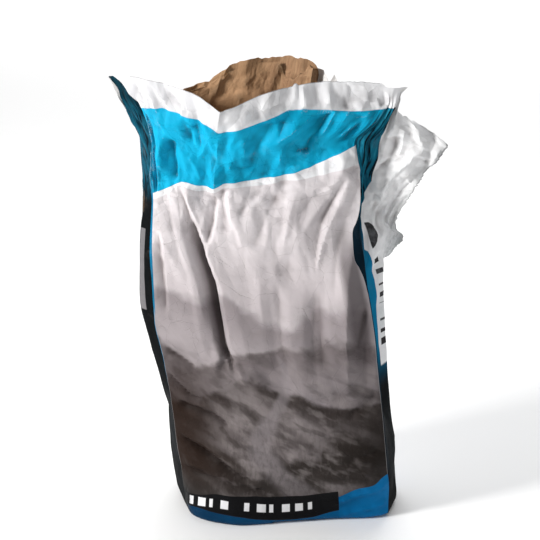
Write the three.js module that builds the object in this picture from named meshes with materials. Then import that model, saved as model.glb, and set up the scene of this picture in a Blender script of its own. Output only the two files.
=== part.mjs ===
// An opened, upright feed-powder sack: three paper plies, one inside the other,
// gusseted at both sides, block bottom, mouth spread open, one side of the
// printed outer ply torn away from the kraft and hanging out as a flap.
// Millimetres, +Z up. Origin: middle of the face that the sack stands on.
import * as THREE from 'three';
import * as BufferGeometryUtils from 'three/addons/utils/BufferGeometryUtils.js';

// ---- driving dimensions ----
const FACE_W = 430;        // flat width of the front and of the back panel
const GUSSET = 100;        // flat width of each side gusset, folded in its middle
const STAND_H = 800;       // nominal height of the printed ply's top edge
const PLY_T = 0.35;        // modelled thickness of one ply
const PLY_STEP = 1.25;     // distance from one ply's outside to the next one's
const SLIT_S = 575;        // the tear, measured round the sack from the front left crease
const SLIT_Z = 430;        // lowest point of the tear
const TOE = 8;             // how far the bottom edge is rounded in

// ---- heights and the plan of the corner creases at each height ----
// FL, FR front creases; BL, BR back creases; LM, RM middle creases of the gussets
const Z = [0, 12, 30, 60, 110, 170, 240, 310, 380, 450, 520, 580, 630, 670, 705, 740, 770];
const PLAN = {
  xFL: [-163, -170, -173, -175, -177, -181, -187, -193, -203, -202, -195, -190, -186, -183, -185, -191, -200],
  yFL: [-44, -50, -50, -48, -48, -50, -48, -46, -44, -42, -42, -40, -38, -36, -34, -30, -26],
  xFR: [200, 207, 208, 207, 205, 202, 196, 189, 183, 174, 162, 159, 161, 159, 158, 186, 206],
  yFR: [-18, -24, -28, -36, -44, -48, -47, -46, -44, -42, -40, -36, -33, -30, -27, -20, -14],
  xLM: [-194, -200, -203, -206, -210, -208, -198, -194, -202, -204, -198, -194, -192, -196, -212, -234, -249],
  yLM: [4, 4, 6, 8, 8, 4, 0, 2, 4, 4, 4, 3, 3, 2, 1, 0, 0],
  xRM: [208, 216, 217, 215, 211, 200, 182, 172, 166, 158, 150, 148, 150, 154, 166, 200, 222],
  yRM: [20, 20, 20, 20, 16, 8, 2, 0, 0, 0, 0, 0, 0, 0, 0, 0, 0],
  xBL: [-196, -202, -204, -206, -211, -219, -228, -238, -248, -244, -238, -231, -225, -222, -222, -223, -220],
  yBL: [52, 60, 60, 56, 50, 42, 34, 31, 32, 34, 34, 32, 30, 26, 22, 18, 12],
  xBR: [202, 208, 210, 211, 209, 204, 201, 198, 194, 190, 182, 177, 176, 178, 184, 194, 200],
  yBR: [52, 60, 60, 58, 50, 44, 40, 40, 40, 38, 36, 34, 32, 28, 23, 18, 14],
  bellyF: [38, 40, 42, 42, 40, 36, 30, 24, 18, 13, 10, 9, 10, 12, 14, 16, 14],
  bellyB: [18, 28, 30, 32, 34, 34, 32, 28, 24, 20, 18, 18, 18, 18, 16, 14, 10],
};
// foot of the front panel: [distance round, x, y]
const FOOT = [[0, -170, -50], [40, -149, -80], [85, -109, -94], [130, -70, -97], [175, -28, -89], [215, 8, -78],
  [255, 46, -68], [300, 88, -58], [345, 132, -49], [385, 170, -42], [412, 192, -34], [430, 207, -24]];
// the ridge that runs down the front from the mouth: [height, x, y]
const RIDGE_S = 175;
const RIDGE = [[520, -66, -52], [580, -70, -56], [630, -72, -62], [670, -68, -70], [705, -64, -77], [740, -57, -83], [770, -50, -88]];

// ---- the mouth: [distance round, x, y, z] of the printed ply's top edge ----
const MOUTH = [
  [0, -213, -24, 799], [40, -178, -42, 794], [85, -135, -60, 787], [130, -91, -76, 778], [175, -49, -90, 770],
  [215, -16, -74, 773], [255, 24, -58, 779], [300, 66, -40, 784], [345, 108, -22, 788], [385, 146, -16, 790],
  [412, 172, -12, 791], [430, 190, -9, 792], [455, 213, -10, 792], [480, 236, 0, 791], [505, 213, 10, 790],
  [530, 190, 10, 789], [552, 168, 6, 789], [575, 146, 6, 790], [620, 108, 8, 793], [660, 96, 34, 798],
  [745, 18, 58, 806], [830, -62, 42, 790], [905, -132, 19, 776], [960, -190, 12, 787], [985, -224, 8, 795],
  [1010, -260, 0, 802], [1035, -237, -12, 801]];
// kraft top edges, as heights above the printed ply's top edge
const KRAFT_UP = [[0, 2], [430, 2], [620, 3], [660, 12], [745, 14], [830, 14], [905, 10], [960, 3], [1060, 2]];
const INNER_SHORT = 0.3;   // the inner kraft ply reaches up this part of that

// ---- the torn flap of the printed ply: outer edge and root at each height ----
const FLAP_EDGE = [[430, 150], [450, 172], [472, 189], [505, 208], [525, 222], [540, 229], [557, 216], [580, 223], [605, 236],
  [630, 250], [651, 262], [670, 280], [685, 290], [698, 296], [705, 294], [720, 285], [735, 266], [745, 250], [755, 230]];
const FLAP_ROOT = [[430, 160], [505, 168], [600, 168], [640, 170], [680, 182], [705, 188], [725, 200], [755, 215], [770, 222]];
const FLAP_TOP = [[480, 791], [486, 757], [505, 750], [530, 740], [552, 724], [575, 700]];

const RIM = [...MOUTH, [2 * FACE_W + 2 * GUSSET, ...MOUTH[0].slice(1)]];

const smooth = (t) => { t = Math.min(1, Math.max(0, t)); return t * t * (3 - 2 * t); };
// monotone cubic through a table
function curve(xs, ys, x) {
  const n = xs.length;
  if (x <= xs[0]) return ys[0];
  if (x >= xs[n - 1]) return ys[n - 1];
  let i = 0; while (i < n - 2 && x >= xs[i + 1]) i++;
  const slope = (k) => {
    if (k <= 0) return (ys[1] - ys[0]) / (xs[1] - xs[0]);
    if (k >= n - 1) return (ys[n - 1] - ys[n - 2]) / (xs[n - 1] - xs[n - 2]);
    const a = (ys[k] - ys[k - 1]) / (xs[k] - xs[k - 1]), b = (ys[k + 1] - ys[k]) / (xs[k + 1] - xs[k]);
    return a * b <= 0 ? 0 : 2 * a * b / (a + b);
  };
  const h = xs[i + 1] - xs[i], t = (x - xs[i]) / h;
  return ys[i] * (1 + 2 * t) * (1 - t) ** 2 + h * slope(i) * t * (1 - t) ** 2
    + ys[i + 1] * t * t * (3 - 2 * t) + h * slope(i + 1) * t * t * (t - 1);
}
const table = (rows, x, c = 1) => curve(rows.map((r) => r[0]), rows.map((r) => r[c]), x);
const linear = (rows, x, c = 1) => {
  let i = 0; while (i < rows.length - 2 && x >= rows[i + 1][0]) i++;
  const t = Math.min(1, Math.max(0, (x - rows[i][0]) / (rows[i + 1][0] - rows[i][0])));
  return rows[i][c] * (1 - t) + rows[i + 1][c] * t;
};

const RM = FACE_W + GUSSET / 2, BR = FACE_W + GUSSET, BL = BR + FACE_W, LM = BL + GUSSET / 2;

// plan position of the sack's wall at distance s round it and height z, up to 770
function wall(s, z) {
  const g = (k) => curve(Z, PLAN[k], z);
  const FLx = g('xFL'), FLy = g('yFL'), FRx = g('xFR'), FRy = g('yFR');
  let x, y;
  if (s <= FACE_W) {
    const u = s / FACE_W;
    x = FLx + (FRx - FLx) * u;
    y = FLy + (FRy - FLy) * u - g('bellyF') * Math.sin(Math.PI * Math.min(Math.max(u, 0), 1)) ** 0.8;
    const w = smooth((150 - z) / 150), ins = TOE * Math.max(0, 1 - z / 12) ** 2;
    const fx = linear(FOOT, s, 1), fy = linear(FOOT, s, 2);
    x = x * (1 - w) + (fx + (fx < 0 ? ins : -ins) * 0.6) * w;
    y = y * (1 - w) + (fy + ins) * w;
    if (z > 450) {
      const ru = RIDGE_S / FACE_W, w2 = smooth((z - 450) / 90);
      const rx = FLx + (FRx - FLx) * ru, ry = FLy + (FRy - FLy) * ru - g('bellyF') * Math.sin(Math.PI * ru) ** 0.8;
      const k = Math.max(0, 1 - Math.abs(s - RIDGE_S) / (s < RIDGE_S ? RIDGE_S : FACE_W - RIDGE_S));
      x += (table(RIDGE, z, 1) - rx) * w2 * k;
      y += (table(RIDGE, z, 2) - ry) * w2 * k;
    }
    return [x, y];
  }
  const front = wall(FACE_W, z);
  const RMp = [g('xRM'), g('yRM')], BRp = [g('xBR'), g('yBR')], BLp = [g('xBL'), g('yBL')], LMp = [g('xLM'), g('yLM')];
  const mix = (a, b, t) => [a[0] + (b[0] - a[0]) * t, a[1] + (b[1] - a[1]) * t];
  if (s <= RM) return mix(front, RMp, (s - FACE_W) / (GUSSET / 2));
  if (s <= BR) return mix(RMp, BRp, (s - RM) / (GUSSET / 2));
  if (s <= BL) {
    const u = (s - BR) / FACE_W, m = mix(BRp, BLp, u);
    m[1] += g('bellyB') * Math.sin(Math.PI * u) ** 0.7;
    const w = smooth((z - 600) / 200) * 0.85;           // leans over to the shape of the mouth
    const rx = linear(MOUTH, s, 1), ry = linear(MOUTH, s, 2);
    return [m[0] * (1 - w) + rx * w, m[1] * (1 - w) + ry * w];
  }
  if (s <= LM) return mix(BLp, LMp, (s - BL) / (GUSSET / 2));
  return mix(LMp, wall(0, z), (s - LM) / (GUSSET / 2));
}

// ---- one ply as a closed shell ----
const ROWS = [0, 12, 30, 60, 110, 170, 240, 310, 370, 430, 472, 505, 540, 557, 590, 630, 670, 698, 722, 745, 770];
const COLS = [0, 40, 85, 130, 175, 215, 255, 300, 345, 385, 412, 430, 455, 480, 486, 505, 530, 552, 575, 620, 660, 745, 830, 905, 960, 985, 1010, 1035];
function ply({ depth, lift, torn, top }) {
  // columns run once round from the tear to the tear, so that both its sides can part
  const order = [...COLS.filter((s) => s >= SLIT_S), ...COLS.filter((s) => s < SLIT_S)];
  const cols = [...order, SLIT_S];
  const rowsZ = ROWS;
  const nC = cols.length, nR = rowsZ.length + (torn ? 1 : 2);
  const grid = (off, zlift) => {
    const P = [];
    for (let r = 0; r < nR; r++) {
      const rim = r >= rowsZ.length, extra = r > rowsZ.length ? 1 : 0;
      const ring = cols.map((s, c) => {
        const free = torn && c === nC - 1;            // the flap's torn edge
        const edgeZ = linear(RIM, s, 3);
        const level = (zr) => (zr <= 600 ? zr : 600 + (zr - 600) * (edgeZ - 600) / (STAND_H - 600));
        let z = rim ? edgeZ : level(rowsZ[r]), p;
        if (rim) {
          // the kraft plies go on past the printed one's edge, on the same line, by top
          const z0 = level(rowsZ[rowsZ.length - 1]), q = wall(s, z0), k = 1 + extra * top(s) / (edgeZ - z0);
          const m = [linear(RIM, s, 1), linear(RIM, s, 2), edgeZ];
          p = [q[0] + (m[0] - q[0]) * k, q[1] + (m[1] - q[1]) * k, z0 + (edgeZ - z0) * k];
        } else { const w = wall(s, z); p = [w[0], w[1], z]; }
        if (torn && (free || (s > 430 && s < SLIT_S)) && (rim || rowsZ[r] > SLIT_Z)) {
          // flap and gusset half of the printed ply, pulled out to the right
          const t = Math.min(1, Math.max(0, (s - 480) / (SLIT_S - 480)));
          const ht = s <= 480 ? p[2] : linear(FLAP_TOP, s, 1);
          const zr = rim ? 0 : rowsZ[r], zz = rim ? ht : (zr <= 600 ? zr : 600 + (zr - 600) * (ht - 600) / (STAND_H - 600));
          const w = smooth((zz - SLIT_Z) / 75);
          const root = linear(FLAP_ROOT, zz, 1), edge = linear(FLAP_EDGE, zz, 1);
          if (s > 480) {
            const fx = root + (edge - root) * t, fy = -6 + 26 * t + 12 * Math.sin(Math.PI * t) * (1 - smooth((zz - 560) / 120));
            const late = smooth((zz - 480) / 90), out = 16 * w * (1 - w) * t;
            p = [Math.max(p[0], p[0] * (1 - w) + fx * w) + out, p[1] * (1 - late) + fy * late + out, zz];
            if (rim) p = [fx, fy, zz];
          } else if (!rim) {
            const k = (s - 430) / 50, f = wall(430, z);
            const fx = f[0] + (Math.max(root - 4, g480(z)) - f[0]) * k, fy = f[1] + (-8 - f[1]) * k;
            p = [p[0] * (1 - w) + fx * w, p[1] * (1 - w) + fy * w, z];
          }
        }
        return p;
      });
      const closed = !torn || (!rim && rowsZ[r] <= SLIT_Z);
      P.push(offsetRing(ring, off, closed).map((q) => [q[0], q[1], q[2] + (r === 0 ? zlift : r === 1 ? zlift * 0.6 : 0)]));
    }
    return P;
  };
  const g480 = (z) => wall(480, z)[0];
  const A = grid(depth, lift), B = grid(depth + PLY_T, lift + PLY_T);
  const pos = [], tri = (a, b, c) => pos.push(...a, ...b, ...c);
  const quad = (a, b, c, d) => { tri(a, b, c); tri(a, c, d); };
  for (let r = 0; r < nR - 1; r++) for (let c = 0; c < nC - 1; c++) {
    quad(A[r][c], A[r][c + 1], A[r + 1][c + 1], A[r + 1][c]);
    quad(B[r][c], B[r + 1][c], B[r + 1][c + 1], B[r][c + 1]);
  }
  for (let c = 0; c < nC - 1; c++) quad(A[nR - 1][c], A[nR - 1][c + 1], B[nR - 1][c + 1], B[nR - 1][c]);
  if (torn) for (let r = 0; r < nR - 1; r++) {
    if (rowsZ[r] < SLIT_Z) continue;
    quad(A[r][0], A[r + 1][0], B[r + 1][0], B[r][0]);
    quad(A[r][nC - 1], B[r][nC - 1], B[r + 1][nC - 1], A[r + 1][nC - 1]);
  }
  // bottom, inside and outside
  for (const [G, down] of [[A, true], [B, false]]) {
    const loop = G[0].slice(0, nC - 1);
    for (const f of THREE.ShapeUtils.triangulateShape(loop.map((p) => new THREE.Vector2(p[0], p[1])), [])) {
      const [a, b, c] = f.map((i) => loop[i]);
      const up = (b[0] - a[0]) * (c[1] - a[1]) - (b[1] - a[1]) * (c[0] - a[0]) > 0;
      if (up !== down) tri(a, b, c); else tri(a, c, b);
    }
  }
  let geo = new THREE.BufferGeometry();
  geo.setAttribute('position', new THREE.Float32BufferAttribute(pos, 3));
  geo = BufferGeometryUtils.mergeVertices(geo, 1e-3);
  geo.computeVertexNormals();
  return geo;
}
// moves a ring inwards in plan by d, with mitred corners
function offsetRing(ring, d, closed) {
  const n = ring.length, m = closed ? n - 1 : n;
  const out = [];
  for (let i = 0; i < m; i++) {
    const p = ring[i];
    const a = closed ? ring[(i - 1 + m) % m] : ring[Math.max(0, i - 1)], b = closed ? ring[(i + 1) % m] : ring[Math.min(n - 1, i + 1)];
    const e1 = new THREE.Vector2(p[0] - a[0], p[1] - a[1]), e2 = new THREE.Vector2(b[0] - p[0], b[1] - p[1]);
    if (e1.length() < 1e-6) e1.copy(e2); if (e2.length() < 1e-6) e2.copy(e1);
    e1.normalize(); e2.normalize();
    const n1 = new THREE.Vector2(-e1.y, e1.x), n2 = new THREE.Vector2(-e2.y, e2.x);   // inwards: the ring runs anticlockwise
    const b1 = n1.clone().add(n2); if (b1.length() < 1e-6) b1.copy(n1); b1.normalize();
    const k = d / Math.max(0.28, b1.dot(n1));
    out.push([p[0] + b1.x * k, p[1] + b1.y * k, p[2]]);
  }
  if (closed) out.push(out[0].slice());
  return out;
}

const printed = new THREE.MeshStandardMaterial({ color: 0xa9a2a4, roughness: 0.5, metalness: 0, name: 'printed_paper' });
const kraft = new THREE.MeshStandardMaterial({ color: 0x9c7850, roughness: 0.85, metalness: 0, name: 'kraft_paper' });
const kraftInner = new THREE.MeshStandardMaterial({ color: 0xa5825a, roughness: 0.85, metalness: 0, name: 'kraft_paper' });

const sack = new THREE.Group();
sack.name = 'sack';
const add = (name, geometry, material) => { const m = new THREE.Mesh(geometry, material); m.name = name; sack.add(m); };
add('outer_ply', ply({ depth: 0, lift: 0, torn: true, top: () => 0 }), printed);
add('middle_ply', ply({ depth: PLY_STEP, lift: PLY_STEP, torn: false, top: (s) => linear(KRAFT_UP, s) }), kraft);
add('inner_ply', ply({ depth: 2 * PLY_STEP, lift: 2 * PLY_STEP, torn: false, top: (s) => linear(KRAFT_UP, s) * INNER_SHORT }), kraftInner);

export default sack;
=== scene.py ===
# An opened three-ply paper feed sack: looks. Metres; the sheet's own measures are in millimetres and scaled at the end.
import math

import bpy
import numpy as np
from mathutils import Matrix, Vector
from mathutils.bvhtree import BVHTree
from mathutils.geometry import delaunay_2d_cdt, tessellate_polygon


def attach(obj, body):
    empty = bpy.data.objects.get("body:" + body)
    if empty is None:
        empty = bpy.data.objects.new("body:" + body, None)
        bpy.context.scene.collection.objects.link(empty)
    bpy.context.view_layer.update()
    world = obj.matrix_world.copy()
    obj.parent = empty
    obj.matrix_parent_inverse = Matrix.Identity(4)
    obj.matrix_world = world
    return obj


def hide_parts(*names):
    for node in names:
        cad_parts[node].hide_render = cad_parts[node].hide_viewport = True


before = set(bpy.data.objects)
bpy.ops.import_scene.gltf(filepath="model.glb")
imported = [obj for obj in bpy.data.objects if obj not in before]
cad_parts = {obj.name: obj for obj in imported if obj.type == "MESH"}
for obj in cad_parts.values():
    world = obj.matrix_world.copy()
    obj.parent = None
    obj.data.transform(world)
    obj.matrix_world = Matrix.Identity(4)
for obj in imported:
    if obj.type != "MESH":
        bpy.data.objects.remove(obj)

# ---------------- the sack's own dimensions (mm) ----------------
FACE_W, GUSSET = 430.0, 100.0
PERIM = 2 * FACE_W + 2 * GUSSET
STAND_H = 800.0
SLIT_S, SLIT_Z = 575.0, 430.0
RM, BR, BL, LM = 480.0, 530.0, 960.0, 1010.0
TOE = 8.0
ZK = [0, 12, 30, 60, 110, 170, 240, 310, 380, 450, 520, 580, 630, 670, 705, 740, 770]
PLAN = {
 'xFL': [-163, -170, -173, -175, -177, -181, -187, -193, -203, -202, -195, -190, -186, -183, -185, -191, -200],
 'yFL': [-44, -50, -50, -48, -48, -50, -48, -46, -44, -42, -42, -40, -38, -36, -34, -30, -26],
 'xFR': [200, 207, 208, 207, 205, 202, 196, 189, 183, 174, 162, 159, 161, 159, 158, 186, 206],
 'yFR': [-18, -24, -28, -36, -44, -48, -47, -46, -44, -42, -40, -36, -33, -30, -27, -20, -14],
 'xLM': [-194, -200, -203, -206, -210, -208, -198, -194, -202, -204, -198, -194, -192, -196, -212, -234, -249],
 'yLM': [4, 4, 6, 8, 8, 4, 0, 2, 4, 4, 4, 3, 3, 2, 1, 0, 0],
 'xRM': [208, 216, 217, 215, 211, 200, 182, 172, 166, 158, 150, 148, 150, 154, 166, 200, 222],
 'yRM': [20, 20, 20, 20, 16, 8, 2, 0, 0, 0, 0, 0, 0, 0, 0, 0, 0],
 'xBL': [-196, -202, -204, -206, -211, -219, -228, -238, -248, -244, -238, -231, -225, -222, -222, -223, -220],
 'yBL': [52, 60, 60, 56, 50, 42, 34, 31, 32, 34, 34, 32, 30, 26, 22, 18, 12],
 'xBR': [202, 208, 210, 211, 209, 204, 201, 198, 194, 190, 182, 177, 176, 178, 184, 194, 200],
 'yBR': [52, 60, 60, 58, 50, 44, 40, 40, 40, 38, 36, 34, 32, 28, 23, 18, 14],
 'bellyF': [38, 40, 42, 42, 40, 36, 30, 24, 18, 13, 10, 9, 10, 12, 14, 16, 14],
 'bellyB': [18, 28, 30, 32, 34, 34, 32, 28, 24, 20, 18, 18, 18, 18, 16, 14, 10],
}
FOOT = [(0, -170, -50), (40, -149, -80), (85, -109, -94), (130, -70, -97), (175, -28, -89), (215, 8, -78),
        (255, 46, -68), (300, 88, -58), (345, 132, -49), (385, 170, -42), (412, 192, -34), (430, 207, -24)]
RIDGE = [(520, -66, -52), (580, -70, -56), (630, -72, -62), (670, -68, -70), (705, -64, -77), (740, -57, -83), (770, -50, -88)]
MOUTH = [(0, -213, -24, 799), (40, -178, -42, 794), (85, -135, -60, 787), (130, -91, -76, 778), (175, -49, -90, 770),
         (215, -16, -74, 773), (255, 24, -58, 779), (300, 66, -40, 784), (345, 108, -22, 788), (385, 146, -16, 790),
         (412, 172, -12, 791), (430, 190, -9, 792), (455, 213, -10, 792), (480, 236, 0, 791), (505, 213, 10, 790),
         (530, 190, 10, 789), (552, 168, 6, 789), (575, 146, 6, 790), (620, 108, 8, 793), (660, 96, 34, 798),
         (745, 18, 58, 806), (830, -62, 42, 790), (905, -132, 19, 776), (960, -190, 12, 787), (985, -224, 8, 795),
         (1010, -260, 0, 802), (1035, -237, -12, 801), (1060, -213, -24, 799)]
FLAP_EDGE = [(430, 150), (450, 172), (472, 189), (505, 208), (525, 222), (540, 229), (557, 216), (580, 223), (605, 236),
             (630, 250), (651, 262), (670, 280), (685, 290), (698, 296), (705, 294), (720, 285), (735, 266), (745, 250), (755, 230)]
FLAP_ROOT = [(430, 160), (505, 168), (600, 168), (640, 170), (680, 182), (705, 188), (725, 200), (755, 215), (770, 222)]
FLAP_TOP = [(480, 791), (486, 757), (505, 750), (530, 740), (552, 724), (575, 700)]


def smooth(t):
    t = np.clip(t, 0, 1)
    return t * t * (3 - 2 * t)


def curve(xs, ys, x):
    """monotone cubic through a table"""
    xs = np.asarray(xs, float); ys = np.asarray(ys, float)
    x = np.clip(x, xs[0], xs[-1])
    d = np.diff(ys) / np.diff(xs)
    m = np.empty_like(ys); m[0] = d[0]; m[-1] = d[-1]
    p = d[:-1] * d[1:]
    m[1:-1] = np.where(p > 0, 2 * p / np.where(np.abs(d[:-1] + d[1:]) < 1e-12, 1, d[:-1] + d[1:]), 0)
    i = np.clip(np.searchsorted(xs, x, side='right') - 1, 0, len(xs) - 2)
    h = xs[i + 1] - xs[i]; t = (x - xs[i]) / h
    return (ys[i] * (1 + 2 * t) * (1 - t) ** 2 + h * m[i] * t * (1 - t) ** 2
            + ys[i + 1] * t * t * (3 - 2 * t) + h * m[i + 1] * t * t * (t - 1))


def tab(rows, x, c=1):
    return curve([r[0] for r in rows], [r[c] for r in rows], x)


def lin(rows, x, c=1):
    return np.interp(x, [r[0] for r in rows], [r[c] for r in rows])


def wall(s, z):
    """plan position of the sack's smooth wall; s, z arrays of one shape, s in 0..PERIM, z up to 770"""
    g = lambda k: curve(ZK, PLAN[k], z)
    FLx, FLy, FRx, FRy = g('xFL'), g('yFL'), g('xFR'), g('yFR')
    bF = g('bellyF')

    def front(sf):
        u = np.clip(sf / FACE_W, 0, 1)
        x = FLx + (FRx - FLx) * u
        y = FLy + (FRy - FLy) * u - bF * np.sin(np.pi * u) ** 0.8
        w = smooth((150 - z) / 150); ins = TOE * np.clip(1 - z / 12, 0, None) ** 2
        fx, fy = curve([r[0] for r in FOOT], [r[1] for r in FOOT], sf), curve([r[0] for r in FOOT], [r[2] for r in FOOT], sf)
        x = x * (1 - w) + (fx + np.where(fx < 0, ins, -ins) * 0.6) * w
        y = y * (1 - w) + (fy + ins) * w
        ru = 175.0 / FACE_W; w2 = smooth((z - 450) / 90)
        rx = FLx + (FRx - FLx) * ru; ry = FLy + (FRy - FLy) * ru - bF * math.sin(math.pi * ru) ** 0.8
        k = np.clip(1 - np.abs(sf - 175) / np.where(sf < 175, 175.0, FACE_W - 175.0), 0, 1)
        x = x + (tab(RIDGE, z, 1) - rx) * w2 * k
        y = y + (tab(RIDGE, z, 2) - ry) * w2 * k
        return x, y
    x, y = front(np.clip(s, 0, FACE_W))
    fRx, fRy = front(np.full_like(z, FACE_W)); fLx, fLy = front(np.zeros_like(z))
    RMx, RMy, BRx, BRy = g('xRM'), g('yRM'), g('xBR'), g('yBR')
    BLx, BLy, LMx, LMy = g('xBL'), g('yBL'), g('xLM'), g('yLM')

    def seg(a0, a1, ax, ay, bx, by):
        nonlocal x, y
        m = (s > a0) & (s <= a1); t = (s - a0) / (a1 - a0)
        x = np.where(m, ax + (bx - ax) * t, x); y = np.where(m, ay + (by - ay) * t, y)
    seg(FACE_W, RM, fRx, fRy, RMx, RMy)
    seg(RM, BR, RMx, RMy, BRx, BRy)
    seg(BL, LM, BLx, BLy, LMx, LMy)
    seg(LM, PERIM, LMx, LMy, fLx, fLy)
    m = (s > BR) & (s <= BL); u = np.clip((s - BR) / FACE_W, 0, 1)
    bx = BRx + (BLx - BRx) * u; by = BRy + (BLy - BRy) * u + g('bellyB') * np.sin(np.pi * u) ** 0.7
    w = smooth((z - 600) / 200) * 0.85
    bx = bx * (1 - w) + lin(MOUTH, s, 1) * w; by = by * (1 - w) + lin(MOUTH, s, 2) * w
    return np.where(m, bx, x), np.where(m, by, y)


def sheet(s, h, torn, top=None):
    """smooth surface point for distance s round (0..PERIM, and a flag for the flap side) and row height h (0..STAND_H)"""
    edge = lin(MOUTH, s, 3)
    zr = np.where(h <= 600, h, 600 + (h - 600) * (edge - 600) / (STAND_H - 600))
    zw = np.minimum(zr, 600 + 170 * (edge - 600) / (STAND_H - 600))     # the last row below the mouth
    x, y = wall(s, np.minimum(zw, 770))
    k = np.clip((h - 770) / 30.0, 0, None)
    if top is not None:
        k = np.where(h >= 800, 1 + (h - 800) / 10.0 * top(s) / (edge - zw + 1e-9), k)
    x = x + (lin(MOUTH, s, 1) - x) * k; y = y + (lin(MOUTH, s, 2) - y) * k
    z = np.where(h <= 770, zr, zw + (edge - zw) * k)
    if torn is None:
        return np.stack([x, y, z], -1)
    # flap of the printed ply: torn is True where the column belongs to the flap side
    m = torn & (s > 430) & (s <= SLIT_S) & (h > SLIT_Z)
    t = np.clip((s - RM) / (SLIT_S - RM), 0, 1)
    ht = lin(FLAP_TOP, s, 1)
    zz = np.where(h <= 600, h, 600 + (h - 600) * (ht - 600) / (STAND_H - 600))
    zz = np.where(s > 480, zz, z)
    w = smooth((zz - SLIT_Z) / 75)
    root, edgex = tab(FLAP_ROOT, zz), tab(FLAP_EDGE, zz)
    fx = root + (edgex - root) * t
    fy = -5 + 8 * t + 10 * np.sin(np.pi * t) * (1 - smooth((zz - 560) / 120))
    late = smooth((zz - 480) / 90); out = 16 * w * (1 - w) * t
    px = np.maximum(x, x * (1 - w) + fx * w) + out; py = y * (1 - late) + fy * late + out
    hi = smooth((h - 765) / 25)
    px = px * (1 - hi) + fx * hi; py = py * (1 - hi) + fy * hi
    mf = m & (s > 480)
    # pleat between the front crease and the root of the flap
    k2 = np.clip((s - 430) / 50.0, 0, 1)
    f0x, f0y = wall(np.full_like(s, 430.0), np.minimum(zw, 770))
    qx = f0x + (np.maximum(root - 4, 0) - f0x) * k2; qy = f0y + (-8 - f0y) * k2
    kk = np.clip((h - 770) / 30.0, 0, 1)
    gx = x * (1 - w) + qx * w; gy = y * (1 - w) + qy * w
    gx = gx * (1 - kk) + x * kk; gy = gy * (1 - kk) + y * kk
    mp = m & (s <= 480)
    x = np.where(mf, px, np.where(mp, gx, x)); y = np.where(mf, py, np.where(mp, gy, y)); z = np.where(mf, zz, z)
    return np.stack([x, y, z], -1)


# ---------------- crumpling ----------------
def facets(seed, ds, dh, amp, s, h, s0=500.0, s1=1650.0, h0=-20.0, h1=850.0):
    """straight-edged random facets, as in crumpled paper: heights at scattered points, flat triangles between them"""
    rng = np.random.default_rng(seed)
    ns, nh = int((s1 - s0) / ds) + 1, int((h1 - h0) / dh) + 1
    gs, gh = np.meshgrid(np.arange(ns + 1), np.arange(nh + 1))
    px = (s0 + ds * (gs + 0.5 * (gh % 2) + rng.uniform(-0.42, 0.42, gs.shape))).ravel()
    py = (h0 + dh * (gh + rng.uniform(-0.42, 0.42, gs.shape))).ravel()
    pz = rng.uniform(-1, 1, px.shape)
    pz = np.sign(pz) * np.abs(pz) ** 1.4 * amp * 1.25
    out = delaunay_2d_cdt([Vector((a / ds, b / dh)) for a, b in zip(px, py)], [], [], 0, 1e-6)
    verts = [Vector((v.x, v.y, float(pz[o[0]]) if o else 0.0)) for v, o in zip(out[0], out[3])]
    tree = BVHTree.FromPolygons(verts, out[2])
    down = Vector((0, 0, -1)); res = np.zeros(s.size)
    sf, hf = s.ravel(), h.ravel()
    for i in range(s.size):
        hit = tree.ray_cast(Vector((sf[i] / ds, hf[i] / dh, 1000.0)), down)
        if hit[0] is not None:
            res[i] = hit[0].z
    return res.reshape(s.shape)


def facets_round(seed, ds, dh, amp, s, h):
    """facets that meet across the seam of the grid (s = 575 and s = 1635)"""
    a = facets(seed, ds, dh, amp, s, h)
    w = smooth((s - (SLIT_S + PERIM - 60)) / 60)
    m = w > 0
    if m.any():
        b = facets(seed, ds, dh, amp, s[:, m.any(0)] - PERIM, h[:, m.any(0)])
        a[:, m.any(0)] = a[:, m.any(0)] * (1 - w[:, m.any(0)]) + b * w[:, m.any(0)]
    return a


def stroke(s, h, pts, amp, wl, wr, ends=0.18, power=1.0):
    """a fold along a line of (s, h): height falls off in wl to its left and wr to its right (seen upwards)"""
    best = np.full(s.shape, 1e9); side = np.zeros(s.shape); along = np.zeros(s.shape)
    P = np.array(pts, float); L = np.concatenate([[0], np.cumsum(np.hypot(*np.diff(P, axis=0).T))])
    for i in range(len(P) - 1):
        a, b = P[i], P[i + 1]; d = b - a; n = float(d @ d)
        t = np.clip(((s - a[0]) * d[0] + (h - a[1]) * d[1]) / n, 0, 1)
        qx, qy = s - (a[0] + t * d[0]), h - (a[1] + t * d[1])
        dist = np.hypot(qx, qy); m = dist < best
        best = np.where(m, dist, best)
        side = np.where(m, np.sign(d[0] * qy - d[1] * qx), side)
        along = np.where(m, (L[i] + t * math.sqrt(n)) / L[-1], along)
    w = np.where(side >= 0, wl, wr)
    if d[1] < 0 or P[-1][1] < P[0][1]:
        w = np.where(side >= 0, wr, wl)          # line drawn downwards: left and right stay as seen
    f = np.clip(1 - best / w, 0, 1) ** power
    A = np.interp(along, np.linspace(0, 1, len(amp)), amp) if hasattr(amp, '__len__') else amp
    taper = smooth(np.minimum(along, 1 - along) / ends) if ends > 0 else 1.0
    return A * f * taper


def box_mask(s, h, s0, s1, h0, h1, fs, fh):
    return smooth((s - s0 + fs) / (2 * fs)) * smooth((s1 + fs - s) / (2 * fs)) * smooth((h - h0 + fh) / (2 * fh)) * smooth((h1 + fh - h) / (2 * fh))


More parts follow.
